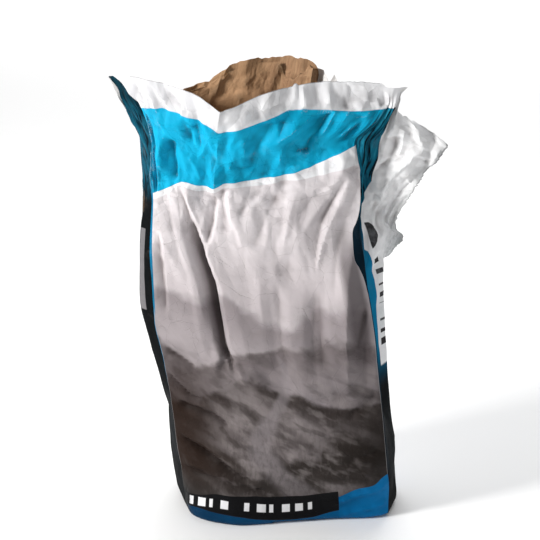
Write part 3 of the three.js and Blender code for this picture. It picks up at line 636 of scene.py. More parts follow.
class Nodes:
    def __init__(self, name):
        self.mat = bpy.data.materials.new(name); self.mat.use_nodes = True
        self.t = self.mat.node_tree; self.t.nodes.clear()
        self.out = self.t.nodes.new('ShaderNodeOutputMaterial')
        self.bsdf = self.t.nodes.new('ShaderNodeBsdfPrincipled')
        self.t.links.new(self.bsdf.outputs[0], self.out.inputs[0])

    def put(self, sock, v):
        if v is None:
            return
        if hasattr(v, 'is_output') or isinstance(v, bpy.types.NodeSocket):
            self.t.links.new(v, sock)
        else:
            sock.default_value = v

    def m(self, op, a, b=None, c=None, clamp=False):
        n = self.t.nodes.new('ShaderNodeMath'); n.operation = op; n.use_clamp = clamp
        self.put(n.inputs[0], a); self.put(n.inputs[1], b)
        if c is not None:
            self.put(n.inputs[2], c)
        return n.outputs[0]

    def step(self, x, edge, width=0.0006):
        """0 below the edge, 1 above, in width"""
        return self.m('DIVIDE', self.m('ADD', self.m('SUBTRACT', x, edge), width / 2), width, clamp=True)

    def soft(self, x, a, b):
        n = self.t.nodes.new('ShaderNodeMapRange'); n.interpolation_type = 'SMOOTHSTEP'
        self.put(n.inputs[0], x); n.inputs[1].default_value = a; n.inputs[2].default_value = b
        return n.outputs[0]

    def between(self, x, a, b, w=0.0006):
        return self.m('MULTIPLY', self.step(x, a, w), self.m('SUBTRACT', 1.0, self.step(x, b, w)))

    def mul(self, *a):
        r = a[0]
        for b in a[1:]:
            r = self.m('MULTIPLY', r, b)
        return r

    def mix(self, f, a, b):
        n = self.t.nodes.new('ShaderNodeMix'); n.data_type = 'RGBA'; n.clamp_factor = True
        self.put(n.inputs[0], f); self.put(n.inputs[6], a); self.put(n.inputs[7], b)
        return n.outputs[2]

    def curve(self, x, pts, x0, x1, y0, y1):
        """smooth line through (x, y) points, as a value"""
        n = self.t.nodes.new('ShaderNodeFloatCurve')
        mr = self.m('DIVIDE', self.m('SUBTRACT', x, x0), x1 - x0)
        self.put(n.inputs['Value'], mr); n.inputs['Factor'].default_value = 1.0
        cm = n.mapping.curves[0]
        pts = sorted(pts)
        P = [((p[0] - x0) / (x1 - x0), (p[1] - y0) / (y1 - y0)) for p in pts]
        cm.points[0].location = P[0]; cm.points[1].location = P[-1]
        for p in P[1:-1]:
            cm.points.new(*p)
        for p in cm.points:
            p.handle_type = 'VECTOR' if len(P) > 14 else 'AUTO_CLAMPED'
        n.mapping.update()
        return self.m('ADD', self.m('MULTIPLY', n.outputs[0], y1 - y0), y0)

    def uv(self, name='print'):
        n = self.t.nodes.new('ShaderNodeUVMap'); n.uv_map = name
        sx = self.t.nodes.new('ShaderNodeSeparateXYZ'); self.t.links.new(n.outputs[0], sx.inputs[0])
        return n.outputs[0], sx.outputs[0], sx.outputs[1]

    def scaled(self, vec, sx, sy, ox=0.0, oy=0.0):
        n = self.t.nodes.new('ShaderNodeMapping'); n.inputs['Scale'].default_value = (sx, sy, 1)
        n.inputs['Location'].default_value = (ox, oy, 0)
        self.t.links.new(vec, n.inputs[0])
        return n.outputs[0]

    def noise(self, vec, scale, detail=3.0, rough=0.5, dist=0.0):
        n = self.t.nodes.new('ShaderNodeTexNoise'); n.noise_dimensions = '2D'
        self.t.links.new(vec, n.inputs['Vector'])
        n.inputs['Scale'].default_value = scale; n.inputs['Detail'].default_value = detail
        n.inputs['Roughness'].default_value = rough; n.inputs['Distortion'].default_value = dist
        return n.outputs[0]

    def cells(self, vec, scale, feature='DISTANCE_TO_EDGE', rnd=1.0):
        n = self.t.nodes.new('ShaderNodeTexVoronoi'); n.voronoi_dimensions = '2D'; n.feature = feature
        self.t.links.new(vec, n.inputs['Vector']); n.inputs['Scale'].default_value = scale
        n.inputs['Randomness'].default_value = rnd
        return n.outputs[0]

    def planes(self, vec, scale, sx=1.0, sy=1.0, slope=1.0):
        """heights of small flat facets, each tilted its own way, in metres"""
        w = self.t.nodes.new('ShaderNodeTexNoise'); w.noise_dimensions = '2D'; self.t.links.new(vec, w.inputs['Vector']); w.inputs['Scale'].default_value = scale * 0.8
        k = self.t.nodes.new('ShaderNodeVectorMath'); k.operation = 'SCALE'; self.t.links.new(w.outputs[1], k.inputs[0]); k.inputs['Scale'].default_value = 0.35 / scale
        a = self.t.nodes.new('ShaderNodeVectorMath'); a.operation = 'ADD'; self.t.links.new(vec, a.inputs[0]); self.t.links.new(k.outputs[0], a.inputs[1])
        pos = self.scaled(a.outputs[0], sx, sy)
        n = self.t.nodes.new('ShaderNodeTexVoronoi'); n.voronoi_dimensions = '2D'
        self.t.links.new(pos, n.inputs['Vector']); n.inputs['Scale'].default_value = scale
        c = self.t.nodes.new('ShaderNodeSeparateColor'); self.t.links.new(n.outputs['Color'], c.inputs[0])
        p = self.t.nodes.new('ShaderNodeSeparateXYZ'); self.t.links.new(n.outputs['Position'], p.inputs[0])
        x = self.t.nodes.new('ShaderNodeSeparateXYZ'); self.t.links.new(pos, x.inputs[0])
        gx = self.m('MULTIPLY', self.m('SUBTRACT', c.outputs[0], 0.5), self.m('SUBTRACT', x.outputs[0], p.outputs[0]))
        gy = self.m('MULTIPLY', self.m('SUBTRACT', c.outputs[1], 0.5), self.m('SUBTRACT', x.outputs[1], p.outputs[1]))
        return self.m('MULTIPLY', self.m('ADD', gx, gy), 2.0 * slope)

    def attr(self, name):
        n = self.t.nodes.new('ShaderNodeAttribute'); n.attribute_name = name
        return n.outputs['Fac']

    def bump(self, height, dist, strength=1.0, prev=None):
        n = self.t.nodes.new('ShaderNodeBump'); n.inputs['Strength'].default_value = strength
        n.inputs['Distance'].default_value = dist
        self.put(n.inputs['Height'], height)
        if prev is not None:
            self.t.links.new(prev, n.inputs['Normal'])
        return n.outputs[0]


CYAN, CYAN_LOW = rgb(15, 169, 209), rgb(0, 84, 132)
WHITE, NAVY, BLACK = rgb(230, 230, 232), rgb(14, 30, 42), rgb(15, 15, 17)
# edges of the printed fields: (distance round, height), mm
BAND_TOP = [(-315, 742), (-100, 742), (-40, 752), (0, 761), (20, 766), (53, 773), (90, 773), (106, 772), (132, 770), (150, 768), (162, 765), (172, 760), (178, 757), (184, 758), (196, 761), (235, 768), (284, 779), (331, 775), (367, 771), (384, 768), (430, 766), (480, 768), (560, 760), (745, 742)]
BAND_LOW = [(-315, 622), (-40, 616), (0, 617), (36, 628), (83, 646), (106, 646), (132, 642), (168, 643), (178, 647), (191, 653), (235, 654), (288, 660), (344, 675), (387, 693), (427, 707), (480, 710), (745, 622)]
PIC_TOP = [(-20, 606), (4, 608), (50, 624), (86, 639), (104, 637), (134, 632), (168, 632), (180, 636), (198, 644), (235, 644), (308, 653), (358, 661), (404, 671), (450, 677)]
STRIP_TOP = [(-20, 40), (0, 44), (26, 49), (56, 54), (103, 63), (162, 63), (212, 59), (258, 60), (311, 68), (360, 76)]
STRIP_LOW = [(-20, 12), (0, 18), (30, 25), (60, 29), (89, 27), (142, 23), (185, 15), (238, 10), (278, 12), (311, 20), (360, 30)]
FOOT_TOP = [(300, 50), (330, 56), (344, 63), (370, 76), (400, 82), (420, 97), (450, 112)]
LABEL = [(280, 506), (300, 505), (323, 505), (357, 508), (408, 509), (428, 509), (450, 507), (475, 500), (486, 494), (505, 484), (522, 475), (545, 469), (560, 466), (585, 459), (592, 461), (603, 472), (646, 487), (690, 486), (720, 480), (768, 480), (800, 484)]


RIGHT = [(0, 428.5), (440, 428.5), (470, 427), (500, 423), (528, 417), (550, 417), (575, 424), (600, 429), (640, 430), (800, 430)]


def mm(pts):
    return [(a / 1000, b / 1000) for a, b in pts]


def printed_material():
    N = Nodes('printed_paper')
    vec, u, v = N.uv()
    cur = lambda pts, x0, x1, y0, y1: N.curve(u, mm(pts), x0, x1, y0, y1)
    # a slight wobble that a hand-folded sheet has is in the mesh, so printed edges are crisp
    top, low = cur(BAND_TOP, -0.315, 0.745, 0.7, 0.8), cur(BAND_LOW, -0.315, 0.745, 0.6, 0.72)
    pic = cur(PIC_TOP, -0.02, 0.45, 0.6, 0.69)
    s_top, s_low = cur(STRIP_TOP, -0.02, 0.36, 0.0, 0.09), cur(STRIP_LOW, -0.02, 0.36, 0.0, 0.05)
    foot = cur(FOOT_TOP, 0.3, 0.45, 0.03, 0.11)
    inv = lambda x: N.m('SUBTRACT', 1.0, x)

    # the picture's place: a made-up misty valley in greys, a pale track winding through it
    wob = N.noise(vec, 7.0, 3.0, 0.5)
    wob2 = N.noise(N.scaled(vec, 1, 1, 3.1, 1.7), 17.0, 3.0, 0.5)
    grass = N.noise(N.scaled(vec, 1.0, 0.45, 0.4, 0.9), 120.0, 5.0, 0.6)
    mist = N.noise(N.scaled(vec, 0.55, 1.3, 1.1, 0.2), 12.0, 4.0, 0.5)
    col = N.mix(N.soft(v, 0.42, 0.62), rgb(188, 180, 182), rgb(219, 213, 215))
    col = N.mix(N.mul(N.soft(mist, 0.45, 0.68), 0.42), col, rgb(172, 165, 167))

    def hill(col, base, a1, f1, p1, rough, dark, pale, blur):
        y = N.m('ADD', base, N.m('MULTIPLY', N.m('SINE', N.m('ADD', N.m('MULTIPLY', u, f1), p1)), a1))
        y = N.m('ADD', y, N.m('MULTIPLY', N.m('SUBTRACT', wob, 0.5), 0.10))
        y = N.m('ADD', y, N.m('MULTIPLY', N.m('SUBTRACT', wob2, 0.5), rough))
        d = N.m('SUBTRACT', y, v)                          # depth below the hill's line
        return N.mix(N.soft(d, -blur, blur), col, N.mix(N.soft(d, 0.0, 0.09), dark, pale)), d
    col, d1 = hill(col, 0.425, 0.022, 13.0, 0.9, 0.03, rgb(142, 134, 136), rgb(164, 156, 158), 0.012)
    col, d2 = hill(col, 0.350, 0.026, 11.0, 3.6, 0.035, rgb(108, 100, 101), rgb(140, 132, 134), 0.009)
    col, d3 = hill(col, 0.255, 0.022, 15.0, 5.4, 0.04, rgb(68, 61, 60), rgb(102, 95, 95), 0.008)
    col, d4 = hill(col, 0.150, 0.016, 18.0, 1.2, 0.04, rgb(44, 38, 35), rgb(70, 64, 62), 0.008)
    # woods as soft clumps on the hill lines
    clump = N.soft(N.noise(N.scaled(vec, 1, 1.2, 7.0, 5.0), 34.0, 3.0, 0.55), 0.44, 0.66)
    col = N.mix(N.mul(clump, N.soft(d2, -0.012, 0.004), inv(N.soft(d2, 0.010, 0.050)), 0.5), col, rgb(84, 77, 77))
    col = N.mix(N.mul(clump, N.soft(d3, -0.014, 0.004), inv(N.soft(d3, 0.010, 0.060)), 0.6), col, rgb(54, 47, 45))
    # track
    tc = N.m('ADD', 0.226, N.m('MULTIPLY', N.m('SINE', N.m('ADD', N.m('MULTIPLY', v, 24.0), 0.7)), N.m('SUBTRACT', 0.052, N.m('MULTIPLY', v, 0.085))))
    tw = N.m('MAXIMUM', N.m('SUBTRACT', 0.046, N.m('MULTIPLY', v, 0.124)), 0.002)
    td = N.m('DIVIDE', N.m('ABSOLUTE', N.m('SUBTRACT', u, N.m('ADD', tc, N.m('MULTIPLY', N.m('SUBTRACT', wob2, 0.5), 0.02)))), tw)
    # a blurred meadow: soft blotches, a little grain
    slant = N.t.nodes.new('ShaderNodeMapping'); slant.inputs['Rotation'].default_value = (0, 0, 0.45); N.t.links.new(vec, slant.inputs[0])
    blot = N.noise(N.scaled(slant.outputs[0], 0.8, 2.2, 4.4, 8.1), 11.0, 1.0, 0.4)
    blot2 = N.noise(N.scaled(slant.outputs[0], 0.8, 1.8, 1.4, 3.1), 30.0, 2.0, 0.45)
    lowp = inv(N.soft(v, 0.20, 0.40))
    col = N.mix(N.mul(N.soft(blot, 0.46, 0.72), lowp, 0.70), col, rgb(140, 132, 132))
    col = N.mix(N.mul(inv(N.soft(blot, 0.28, 0.50)), lowp, 0.70), col, rgb(42, 36, 33))
    col = N.mix(N.mul(N.soft(blot2, 0.50, 0.72), lowp, 0.35), col, rgb(150, 142, 141))
    col = N.mix(N.mul(inv(N.soft(blot2, 0.28, 0.46)), lowp, 0.45), col, rgb(40, 34, 31))
    track = N.mul(inv(N.soft(td, 0.35, 1.30)), N.soft(d2, 0.002, 0.03), 0.6)
    col = N.mix(track, col, rgb(132, 125, 127))
    # texture of grass, darker towards the foot and both lower corners
    low_t = inv(N.soft(v, 0.08, 0.36))
    col = N.mix(N.mul(N.soft(grass, 0.42, 0.68), low_t, 0.3), col, rgb(46, 40, 37))
    col = N.mix(N.mul(inv(N.soft(grass, 0.30, 0.46)), low_t, 0.14), col, rgb(132, 124, 122))
    edge_l = inv(N.soft(u, 0.02, 0.175)); edge_r = N.soft(u, 0.315, 0.425)
    dark = N.mul(N.m('MAXIMUM', edge_l, edge_r), inv(N.soft(v, 0.19, 0.345)))
    col = N.mix(N.mul(dark, 0.90), col, rgb(27, 21, 17))
    col = N.mix(N.mul(edge_l, N.soft(v, 0.05, 0.10), inv(N.soft(v, 0.24, 0.37)), 0.6), col, rgb(40, 23, 13))
    # painted shade: a dark vertical band where the front turns away beside the right crease
    col = N.mix(N.mul(N.soft(u, 0.378, 0.398), inv(N.soft(u, 0.418, 0.429)), N.soft(v, 0.28, 0.38), inv(N.soft(v, 0.50, 0.58)), 0.72), col, rgb(76, 68, 70))
    # painted shade along the long fold's shaded left side; after it, the picture darker towards its foot
    fd = N.m('SUBTRACT', u, N.curve(v, mm([(270, 160), (312, 148), (346, 138), (379, 136), (424, 131), (458, 128), (495, 122), (528, 114), (556, 106), (590, 92), (630, 76)]), 0.27, 0.63, 0.07, 0.17))
    col = N.mix(N.mul(N.soft(fd, -0.024, -0.006), inv(N.soft(fd, -0.002, 0.003)), N.soft(v, 0.28, 0.34), inv(N.soft(v, 0.50, 0.60)), 0.55), col, rgb(52, 44, 43))
    col = N.mix(N.mul(inv(N.soft(v, 0.03, 0.13)), 0.45), col, rgb(50, 46, 45))
    grain = N.noise(vec, 900.0, 2.0, 0.6)
    col = N.mix(N.mul(N.m('ABSOLUTE', N.m('SUBTRACT', grain, 0.5)), 0.35), col, rgb(90, 85, 86))
    picture = col

    # whole sheet, field by field
    right = N.curve(v, mm(RIGHT), 0.0, 0.80, 0.40, 0.44)
    front = N.mul(N.step(u, 0.0015, 0.0008), inv(N.step(u, right, 0.0008)))
    body = WHITE
    # back panel: plain, pale, with a grey field of its own
    backf = N.m('MAXIMUM', inv(N.step(u, -0.100)), N.step(u, 0.530))
    back_pic = N.mul(backf, N.between(v, 0.070, 0.560), N.m('MAXIMUM', N.between(u, -0.290, -0.125), N.between(u, 0.555, 0.72)))
    col = N.mix(N.mul(back_pic, 0.16), body, rgb(120, 118, 122))
    lines = N.mul(backf, N.between(v, 0.20, 0.50), N.step(N.m('FRACT', N.m('MULTIPLY', v, 42.0)), 0.62, 0.03), N.m('MAXIMUM', N.between(u, -0.275, -0.145), N.between(u, 0.575, 0.70)))
    col = N.mix(N.mul(lines, 0.62), col, rgb(96, 96, 100))
    # side gussets: blue next to the front, dark navy print below painted near-black as shade, teal in the neck; painted
    # shade in the valleys beside the creases
    gr = N.mul(N.step(u, right, 0.0008), inv(N.step(u, 0.530))); gl = N.between(u, -0.100, 0.0015)
    side = N.m('MAXIMUM', gr, gl)
    deep = N.mix(inv(N.soft(v, 0.24, 0.36)), rgb(12, 122, 164), rgb(4, 8, 12))
    col = N.mix(side, col, deep)
    # painted shade in the valley behind the right front crease
    col = N.mix(N.mul(gr, inv(N.soft(u, 0.442, 0.492)), N.soft(v, 0.36, 0.50), 0.92), col, rgb(5, 22, 34))
    col = N.mix(N.mul(gr, inv(N.soft(u, 0.430, 0.446)), 0.8), col, rgb(6, 22, 32))
    # painted shade over the left gusset's rear half, and its white label painted grey as shade
    col = N.mix(N.mul(gl, inv(N.soft(u, -0.040, -0.022))), col, rgb(5, 8, 10))
    col = N.mix(N.mul(gl, N.between(u, -0.0985, -0.086), N.between(v, 0.372, 0.528)), col, rgb(112, 110, 112))
    # label on the right gusset and the torn flap above it
    lab_l = N.curve(v, mm(LABEL), 0.28, 0.80, 0.44, 0.53)
    lab = N.mul(N.step(u, lab_l, 0.0008), N.step(v, 0.286, 0.004), inv(N.step(u, 0.58)))
    lab = N.mul(lab, N.m('MAXIMUM', inv(N.step(u, 0.541)), N.step(v, 0.43)))
    # the neck's pleats: teal, with painted shade in their creases and painted highlights on their ridges; more painted
    # shade under the left ear and over the left neck
    streak = N.noise(N.scaled(vec, 1.0, 0.12, 2.2, 0.0), 170.0, 3.0, 0.6, 0.5)
    neck_side = N.mul(side, N.soft(v, 0.575, 0.625))
    pleat = N.mix(N.soft(streak, 0.40, 0.62), rgb(22, 112, 138), rgb(8, 62, 84))
    pleat = N.mix(N.mul(N.soft(streak, 0.555, 0.60), 0.9), pleat, rgb(6, 12, 16))
    pleat = N.mix(N.mul(inv(N.soft(streak, 0.34, 0.40)), 0.5), pleat, rgb(40, 140, 164))
    pleat = N.mix(N.mul(gl, N.soft(v, 0.745, 0.775), 0.8), pleat, rgb(4, 34, 44))
    pleat = N.mix(N.mul(gl, 0.45), pleat, rgb(4, 22, 30))
    col = N.mix(neck_side, col, pleat)
    # bands: white over blue, on front and back, and a little way round the left ear
    ear = N.curve(v, mm([(750, 0), (762, -1), (775, -9), (790, -24), (800, -37), (820, -50)]), 0.75, 0.82, -0.05, 0.0)
    panels = N.m('MAXIMUM', N.mul(N.step(u, ear, 0.001), inv(N.step(u, 0.486))), backf)
    band = N.mul(inv(N.step(v, top, 0.0010)), N.step(v, low, 0.0010), N.m('MAXIMUM', front, backf))
    # painted shade: the white band left of the front ridge is painted greyer than on the right, and a thin grey line is
    # painted along the front's top edge
    col = N.mix(N.mul(N.step(v, top, 0.0010), panels), col, N.mix(N.m('MULTIPLY', inv(N.soft(u, 0.150, 0.185)), 0.9), WHITE, rgb(208, 208, 211)))
    col = N.mix(N.mul(N.step(v, 0.7992, 0.0004), front, 0.6), col, rgb(120, 122, 124))
    col = N.mix(N.mul(N.step(v, low, 0.0010), N.m('MAXIMUM', front, backf), inv(N.step(v, top, 0.0010))), col, WHITE)
    ink = N.mix(N.mul(N.soft(N.noise(vec, 30.0, 3.0, 0.6), 0.3, 0.75), 0.35), CYAN, rgb(0, 142, 184))
    col = N.mix(band, col, ink)
    # painted shade: dark streaks in the blue band's crumples beside both front creases
    near = N.mul(band, front, N.m('MAXIMUM', N.soft(u, 0.405, 0.430), inv(N.soft(u, 0.0, 0.022))))
    col = N.mix(N.mul(near, N.soft(streak, 0.40, 0.58), 0.85), col, rgb(6, 60, 84))
    # front panel: white wedge, picture, strip, foot band
    col = N.mix(N.mul(front, inv(N.step(v, low, 0.0010))), col, WHITE)
    col = N.mix(N.mul(front, inv(N.step(v, pic, 0.0016))), col, picture)
    # a blue line down the left crease
    col = N.mix(N.mul(N.between(u, -0.022, 0.0045, 0.001), N.between(v, 0.40, 0.63, 0.02)), col, rgb(16, 112, 150))
    under = inv(N.step(v, s_low, 0.001))
    col = N.mix(N.mul(inv(N.step(u, 0.332)), under), col, CYAN_LOW)
    col = N.mix(N.mul(N.between(u, 0.3315, 0.4285), inv(N.step(v, foot, 0.001))), col, CYAN_LOW)
    strip = N.mul(N.between(u, 0.002, 0.332), N.step(v, s_low, 0.001), inv(N.step(v, s_top, 0.001)))
    col = N.mix(strip, col, BLACK)
    # plain white bars of uneven width along the strip
    mid = N.m('MULTIPLY', N.m('ADD', s_top, s_low), 0.5)
    dv = N.m('ABSOLUTE', N.m('SUBTRACT', v, mid))
    q = N.m('MULTIPLY', N.m('SUBTRACT', u, 0.028), 41.0)
    ph = N.m('FRACT', q)
    wide = N.m('ADD', 0.62, N.m('MULTIPLY', N.m('SINE', N.m('MULTIPLY', N.m('FLOOR', q), 2.4)), 0.22))
    dash = N.mul(strip, N.between(u, 0.030, 0.296, 0.0006), inv(N.step(dv, 0.0082, 0.0006)), N.step(ph, 0.10, 0.02), inv(N.step(ph, wide, 0.02)), inv(N.between(u, 0.124, 0.142)))
    col = N.mix(dash, col, rgb(226, 226, 228))
    col = N.mix(N.mul(backf, inv(N.step(v, 0.062))), col, CYAN_LOW)
    col = N.mix(N.mul(inv(N.soft(u, 0.06, 0.30)), N.step(u, 0.0), under, inv(N.step(u, 0.332)), 0.9), col, rgb(2, 40, 68))
    col = N.mix(N.mul(N.soft(u, 0.30, 0.41), inv(N.step(u, 0.4285)), N.step(u, 0.332), inv(N.step(v, foot, 0.001)), 0.8), col, rgb(0, 112, 172))
    # dark navy print at the gussets' foot, painted near-black as shade
    col = N.mix(N.mul(side, inv(N.step(v, 0.10, 0.03))), col, rgb(4, 6, 8))
    col = N.mix(N.mul(inv(N.soft(u, 0.004, 0.050)), inv(N.step(u, 0.060)), N.step(u, -0.10), inv(N.soft(v, 0.03, 0.075))), col, rgb(9, 11, 14))
    col = N.mix(lab, col, rgb(240, 240, 241))
    # painted shade: the label greys towards the flap's torn edge; the darker line on the edge itself is partly painted
    # shade, partly the torn edge's grey fibres
    col = N.mix(N.mul(lab, N.soft(u, 0.550, 0.575), N.step(v, 0.43), 0.35), col, rgb(150, 153, 153))
    col = N.mix(N.mul(lab, N.step(u, 0.5728, 0.0008), N.step(v, 0.43), 0.6), col, rgb(96, 98, 98))
    # plain dark bars beside the label's edge
    lu = N.m('SUBTRACT', u, lab_l)
    lq = N.m('MULTIPLY', v, 44.0); lf = N.m('FRACT', lq)
    lw = N.m('ADD', 0.58, N.m('MULTIPLY', N.m('SINE', N.m('MULTIPLY', N.m('FLOOR', lq), 1.9)), 0.20))
    bars = N.mul(N.between(lu, 0.0080, 0.0240, 0.0008), N.between(v, 0.318, 0.500), N.step(lf, 0.22, 0.03), inv(N.step(lf, lw, 0.03)), inv(N.between(v, 0.386, 0.402)))
    col = N.mix(N.mul(bars, inv(N.step(u, 0.534))), col, rgb(52, 50, 52))
    disc = N.m('ADD', N.m('POWER', N.m('DIVIDE', N.m('SUBTRACT', lu, 0.012), 0.021), 2.0), N.m('POWER', N.m('DIVIDE', N.m('SUBTRACT', v, 0.541), 0.025), 2.0))
    col = N.mix(N.mul(inv(N.step(disc, 1.0, 0.08)), N.step(lu, 0.012, 0.001), lab), col, rgb(56, 54, 56))

    # handling: white cracks where the print is sharply creased, painted shade in the hollows, faint dirt
    wear = N.attr('wear')
    crack = N.mul(inv(side), N.soft(wear, 0.55, 1.0), N.soft(N.noise(vec, 420.0, 3.0, 0.7), 0.46, 0.6), 0.28, N.soft(v, 0.3, 0.6))
    col = N.mix(crack, col, rgb(214, 216, 218))
    # painted shade: hollows and creases darkened from the 'hollow' attribute, less on the back and in the white band
    sunk = N.mul(N.soft(N.attr('hollow'), 0.0, 0.9), inv(N.m('MULTIPLY', backf, 0.55)))
    dim = N.t.nodes.new('ShaderNodeMix'); dim.data_type = 'RGBA'; dim.blend_type = 'MULTIPLY'
    N.put(dim.inputs[0], N.mul(sunk, 0.62, inv(N.m('MULTIPLY', N.step(v, top, 0.001), 0.55)))); N.put(dim.inputs[6], col); dim.inputs[7].default_value = (0.26, 0.22, 0.21, 1)
    col = dim.outputs[2]
    dirt = N.mul(N.soft(N.noise(N.scaled(vec, 1, 1, 9, 9), 26.0, 5.0, 0.65), 0.55, 0.8), N.soft(v, 0.30, 0.40), 0.14)
    col = N.mix(dirt, col, rgb(120, 112, 104))
    # torn, fibrous grey patch at the flap's low end
    patch = N.mul(N.soft(u, 0.520, 0.560), N.soft(v, 0.44, 0.47), inv(N.soft(v, 0.55, 0.62)), inv(N.step(u, 0.58)), lab)
    col = N.mix(N.mul(patch, N.soft(N.noise(vec, 85.0, 6.0, 0.7), 0.38, 0.66), 0.55), col, rgb(146, 147, 145))
    col = N.mix(N.mul(lab, N.soft(N.noise(N.scaled(vec, 1, 1, 2.5, 3.5), 30.0, 5.0, 0.65), 0.5, 0.75), 0.22), col, rgb(176, 182, 184))
    N.put(N.bsdf.inputs['Base Color'], col)
    r = N.m('ADD', 0.46, N.m('MULTIPLY', N.noise(vec, 60.0, 4.0, 0.6), 0.16))
    r = N.m('ADD', r, N.m('MULTIPLY', side, 0.22))
    r = N.m('ADD', r, N.m('MULTIPLY', N.m('MAXIMUM', lab, N.mul(N.step(v, top, 0.001), 0.6)), 0.12))
    N.put(N.bsdf.inputs['Roughness'], r)
    N.bsdf.inputs['Specular IOR Level'].default_value = 0.06
    # fine crumples and the paper's own tooth
    neck = N.soft(v, 0.50, 0.66)
    fold = lambda sx, sy, ox, scale: N.m('ABSOLUTE', N.m('SUBTRACT', N.noise(N.scaled(vec, sx, sy, ox, ox * 0.7), scale, 1.0, 0.5), 0.5))
    h1 = N.m('MULTIPLY', fold(1.0, 0.6, 0.3, 26.0), N.m('ADD', 0.44, N.m('MULTIPLY', neck, 0.12)))
    h1 = N.m('ADD', h1, N.m('MULTIPLY', fold(0.8, 1.0, 1.9, 58.0), N.m('ADD', 0.13, N.m('MULTIPLY', neck, 0.13))))
    h1 = N.m('ADD', h1, N.m('MULTIPLY', fold(1.0, 0.8, 3.7, 130.0), N.m('ADD', 0.025, N.m('MULTIPLY', neck, 0.05))))
    small = N.m('ADD', N.m('MULTIPLY', N.planes(vec, 26.0, 1.0, 0.7), N.m('ADD', 0.05, N.m('MULTIPLY', neck, 0.13))), N.m('MULTIPLY', N.planes(vec, 70.0, 0.85, 1.0), N.mul(N.soft(N.noise(N.scaled(vec, 1, 1, 5.5, 1.5), 14.0, 2.0, 0.5), 0.42, 0.66), N.m('ADD', 0.05, N.m('MULTIPLY', neck, 0.16)))))
    b = N.bump(h1, 0.0042, 1.0)
    b = N.bump(small, 1.0, 1.0, b)
    b = N.bump(N.noise(vec, 1500.0, 2.0, 0.5), 0.00008, 0.6, b)
    N.t.links.new(b, N.bsdf.inputs['Normal'])
    return N.mat


def plain_paper(name, base, dark, light, rough, fibre=1.0, painted_light_colour=None):
    N = Nodes(name)
    vec, u, v = N.uv()
    a = N.noise(N.scaled(vec, 1.0, 0.35), 210.0, 5.0, 0.65)
    b = N.noise(vec, 24.0, 4.0, 0.6)
    col = N.mix(N.mul(N.soft(a, 0.42, 0.68), 0.5 * fibre), base, dark)
    col = N.mix(N.mul(N.soft(b, 0.45, 0.75), 0.35 * fibre), col, light)
    if painted_light_colour:                                            # painted light: paler over part of the back wall, where it is lit
        col = N.mix(N.mul(N.soft(u, -0.315, -0.270), N.m('SUBTRACT', 1.0, N.soft(u, -0.150, -0.110)), 0.6), col, painted_light_colour)
    speck = N.soft(N.noise(N.scaled(vec, 1, 1, 4, 2), 900.0, 2.0, 0.6), 0.62, 0.7)
    col = N.mix(N.mul(speck, 0.35 * fibre), col, dark)
    wear = N.attr('wear')
    col = N.mix(N.mul(N.soft(wear, 0.3, 0.9), 0.38), col, light)
    # painted shade in the kraft's hollows
    col = N.mix(N.mul(N.soft(N.attr('hollow'), 0.05, 0.8), 0.35), col, rgb(40, 30, 22))
    N.put(N.bsdf.inputs['Base Color'], col)
    N.put(N.bsdf.inputs['Roughness'], N.m('ADD', rough, N.m('MULTIPLY', a, 0.1)))
    N.bsdf.inputs['Specular IOR Level'].default_value = 0.3
    fold = lambda sx, sy, ox, scale: N.m('ABSOLUTE', N.m('SUBTRACT', N.noise(N.scaled(vec, sx, sy, ox, ox * 0.7), scale, 1.0, 0.5), 0.5))
    h = N.m('ADD', N.m('MULTIPLY', fold(1.0, 0.7, 5.3, 30.0), 0.6), N.m('ADD', N.m('MULTIPLY', fold(0.9, 1.0, 2.3, 75.0), 0.3), N.m('MULTIPLY', fold(1.0, 0.8, 4.1, 160.0), 0.08)))
    bb = N.bump(h, 0.006, 1.0)
    bb = N.bump(N.m('ADD', N.m('MULTIPLY', N.planes(vec, 24.0, 1.0, 0.5), 0.16), N.m('MULTIPLY', N.planes(vec, 70.0, 0.9, 1.0), 0.09)), 1.0, 1.0, bb)
    bb = N.bump(N.noise(N.scaled(vec, 1.0, 0.4), 900.0, 3.0, 0.6), 0.00015, 0.7, bb)
    N.t.links.new(bb, N.bsdf.inputs['Normal'])
    return N.mat


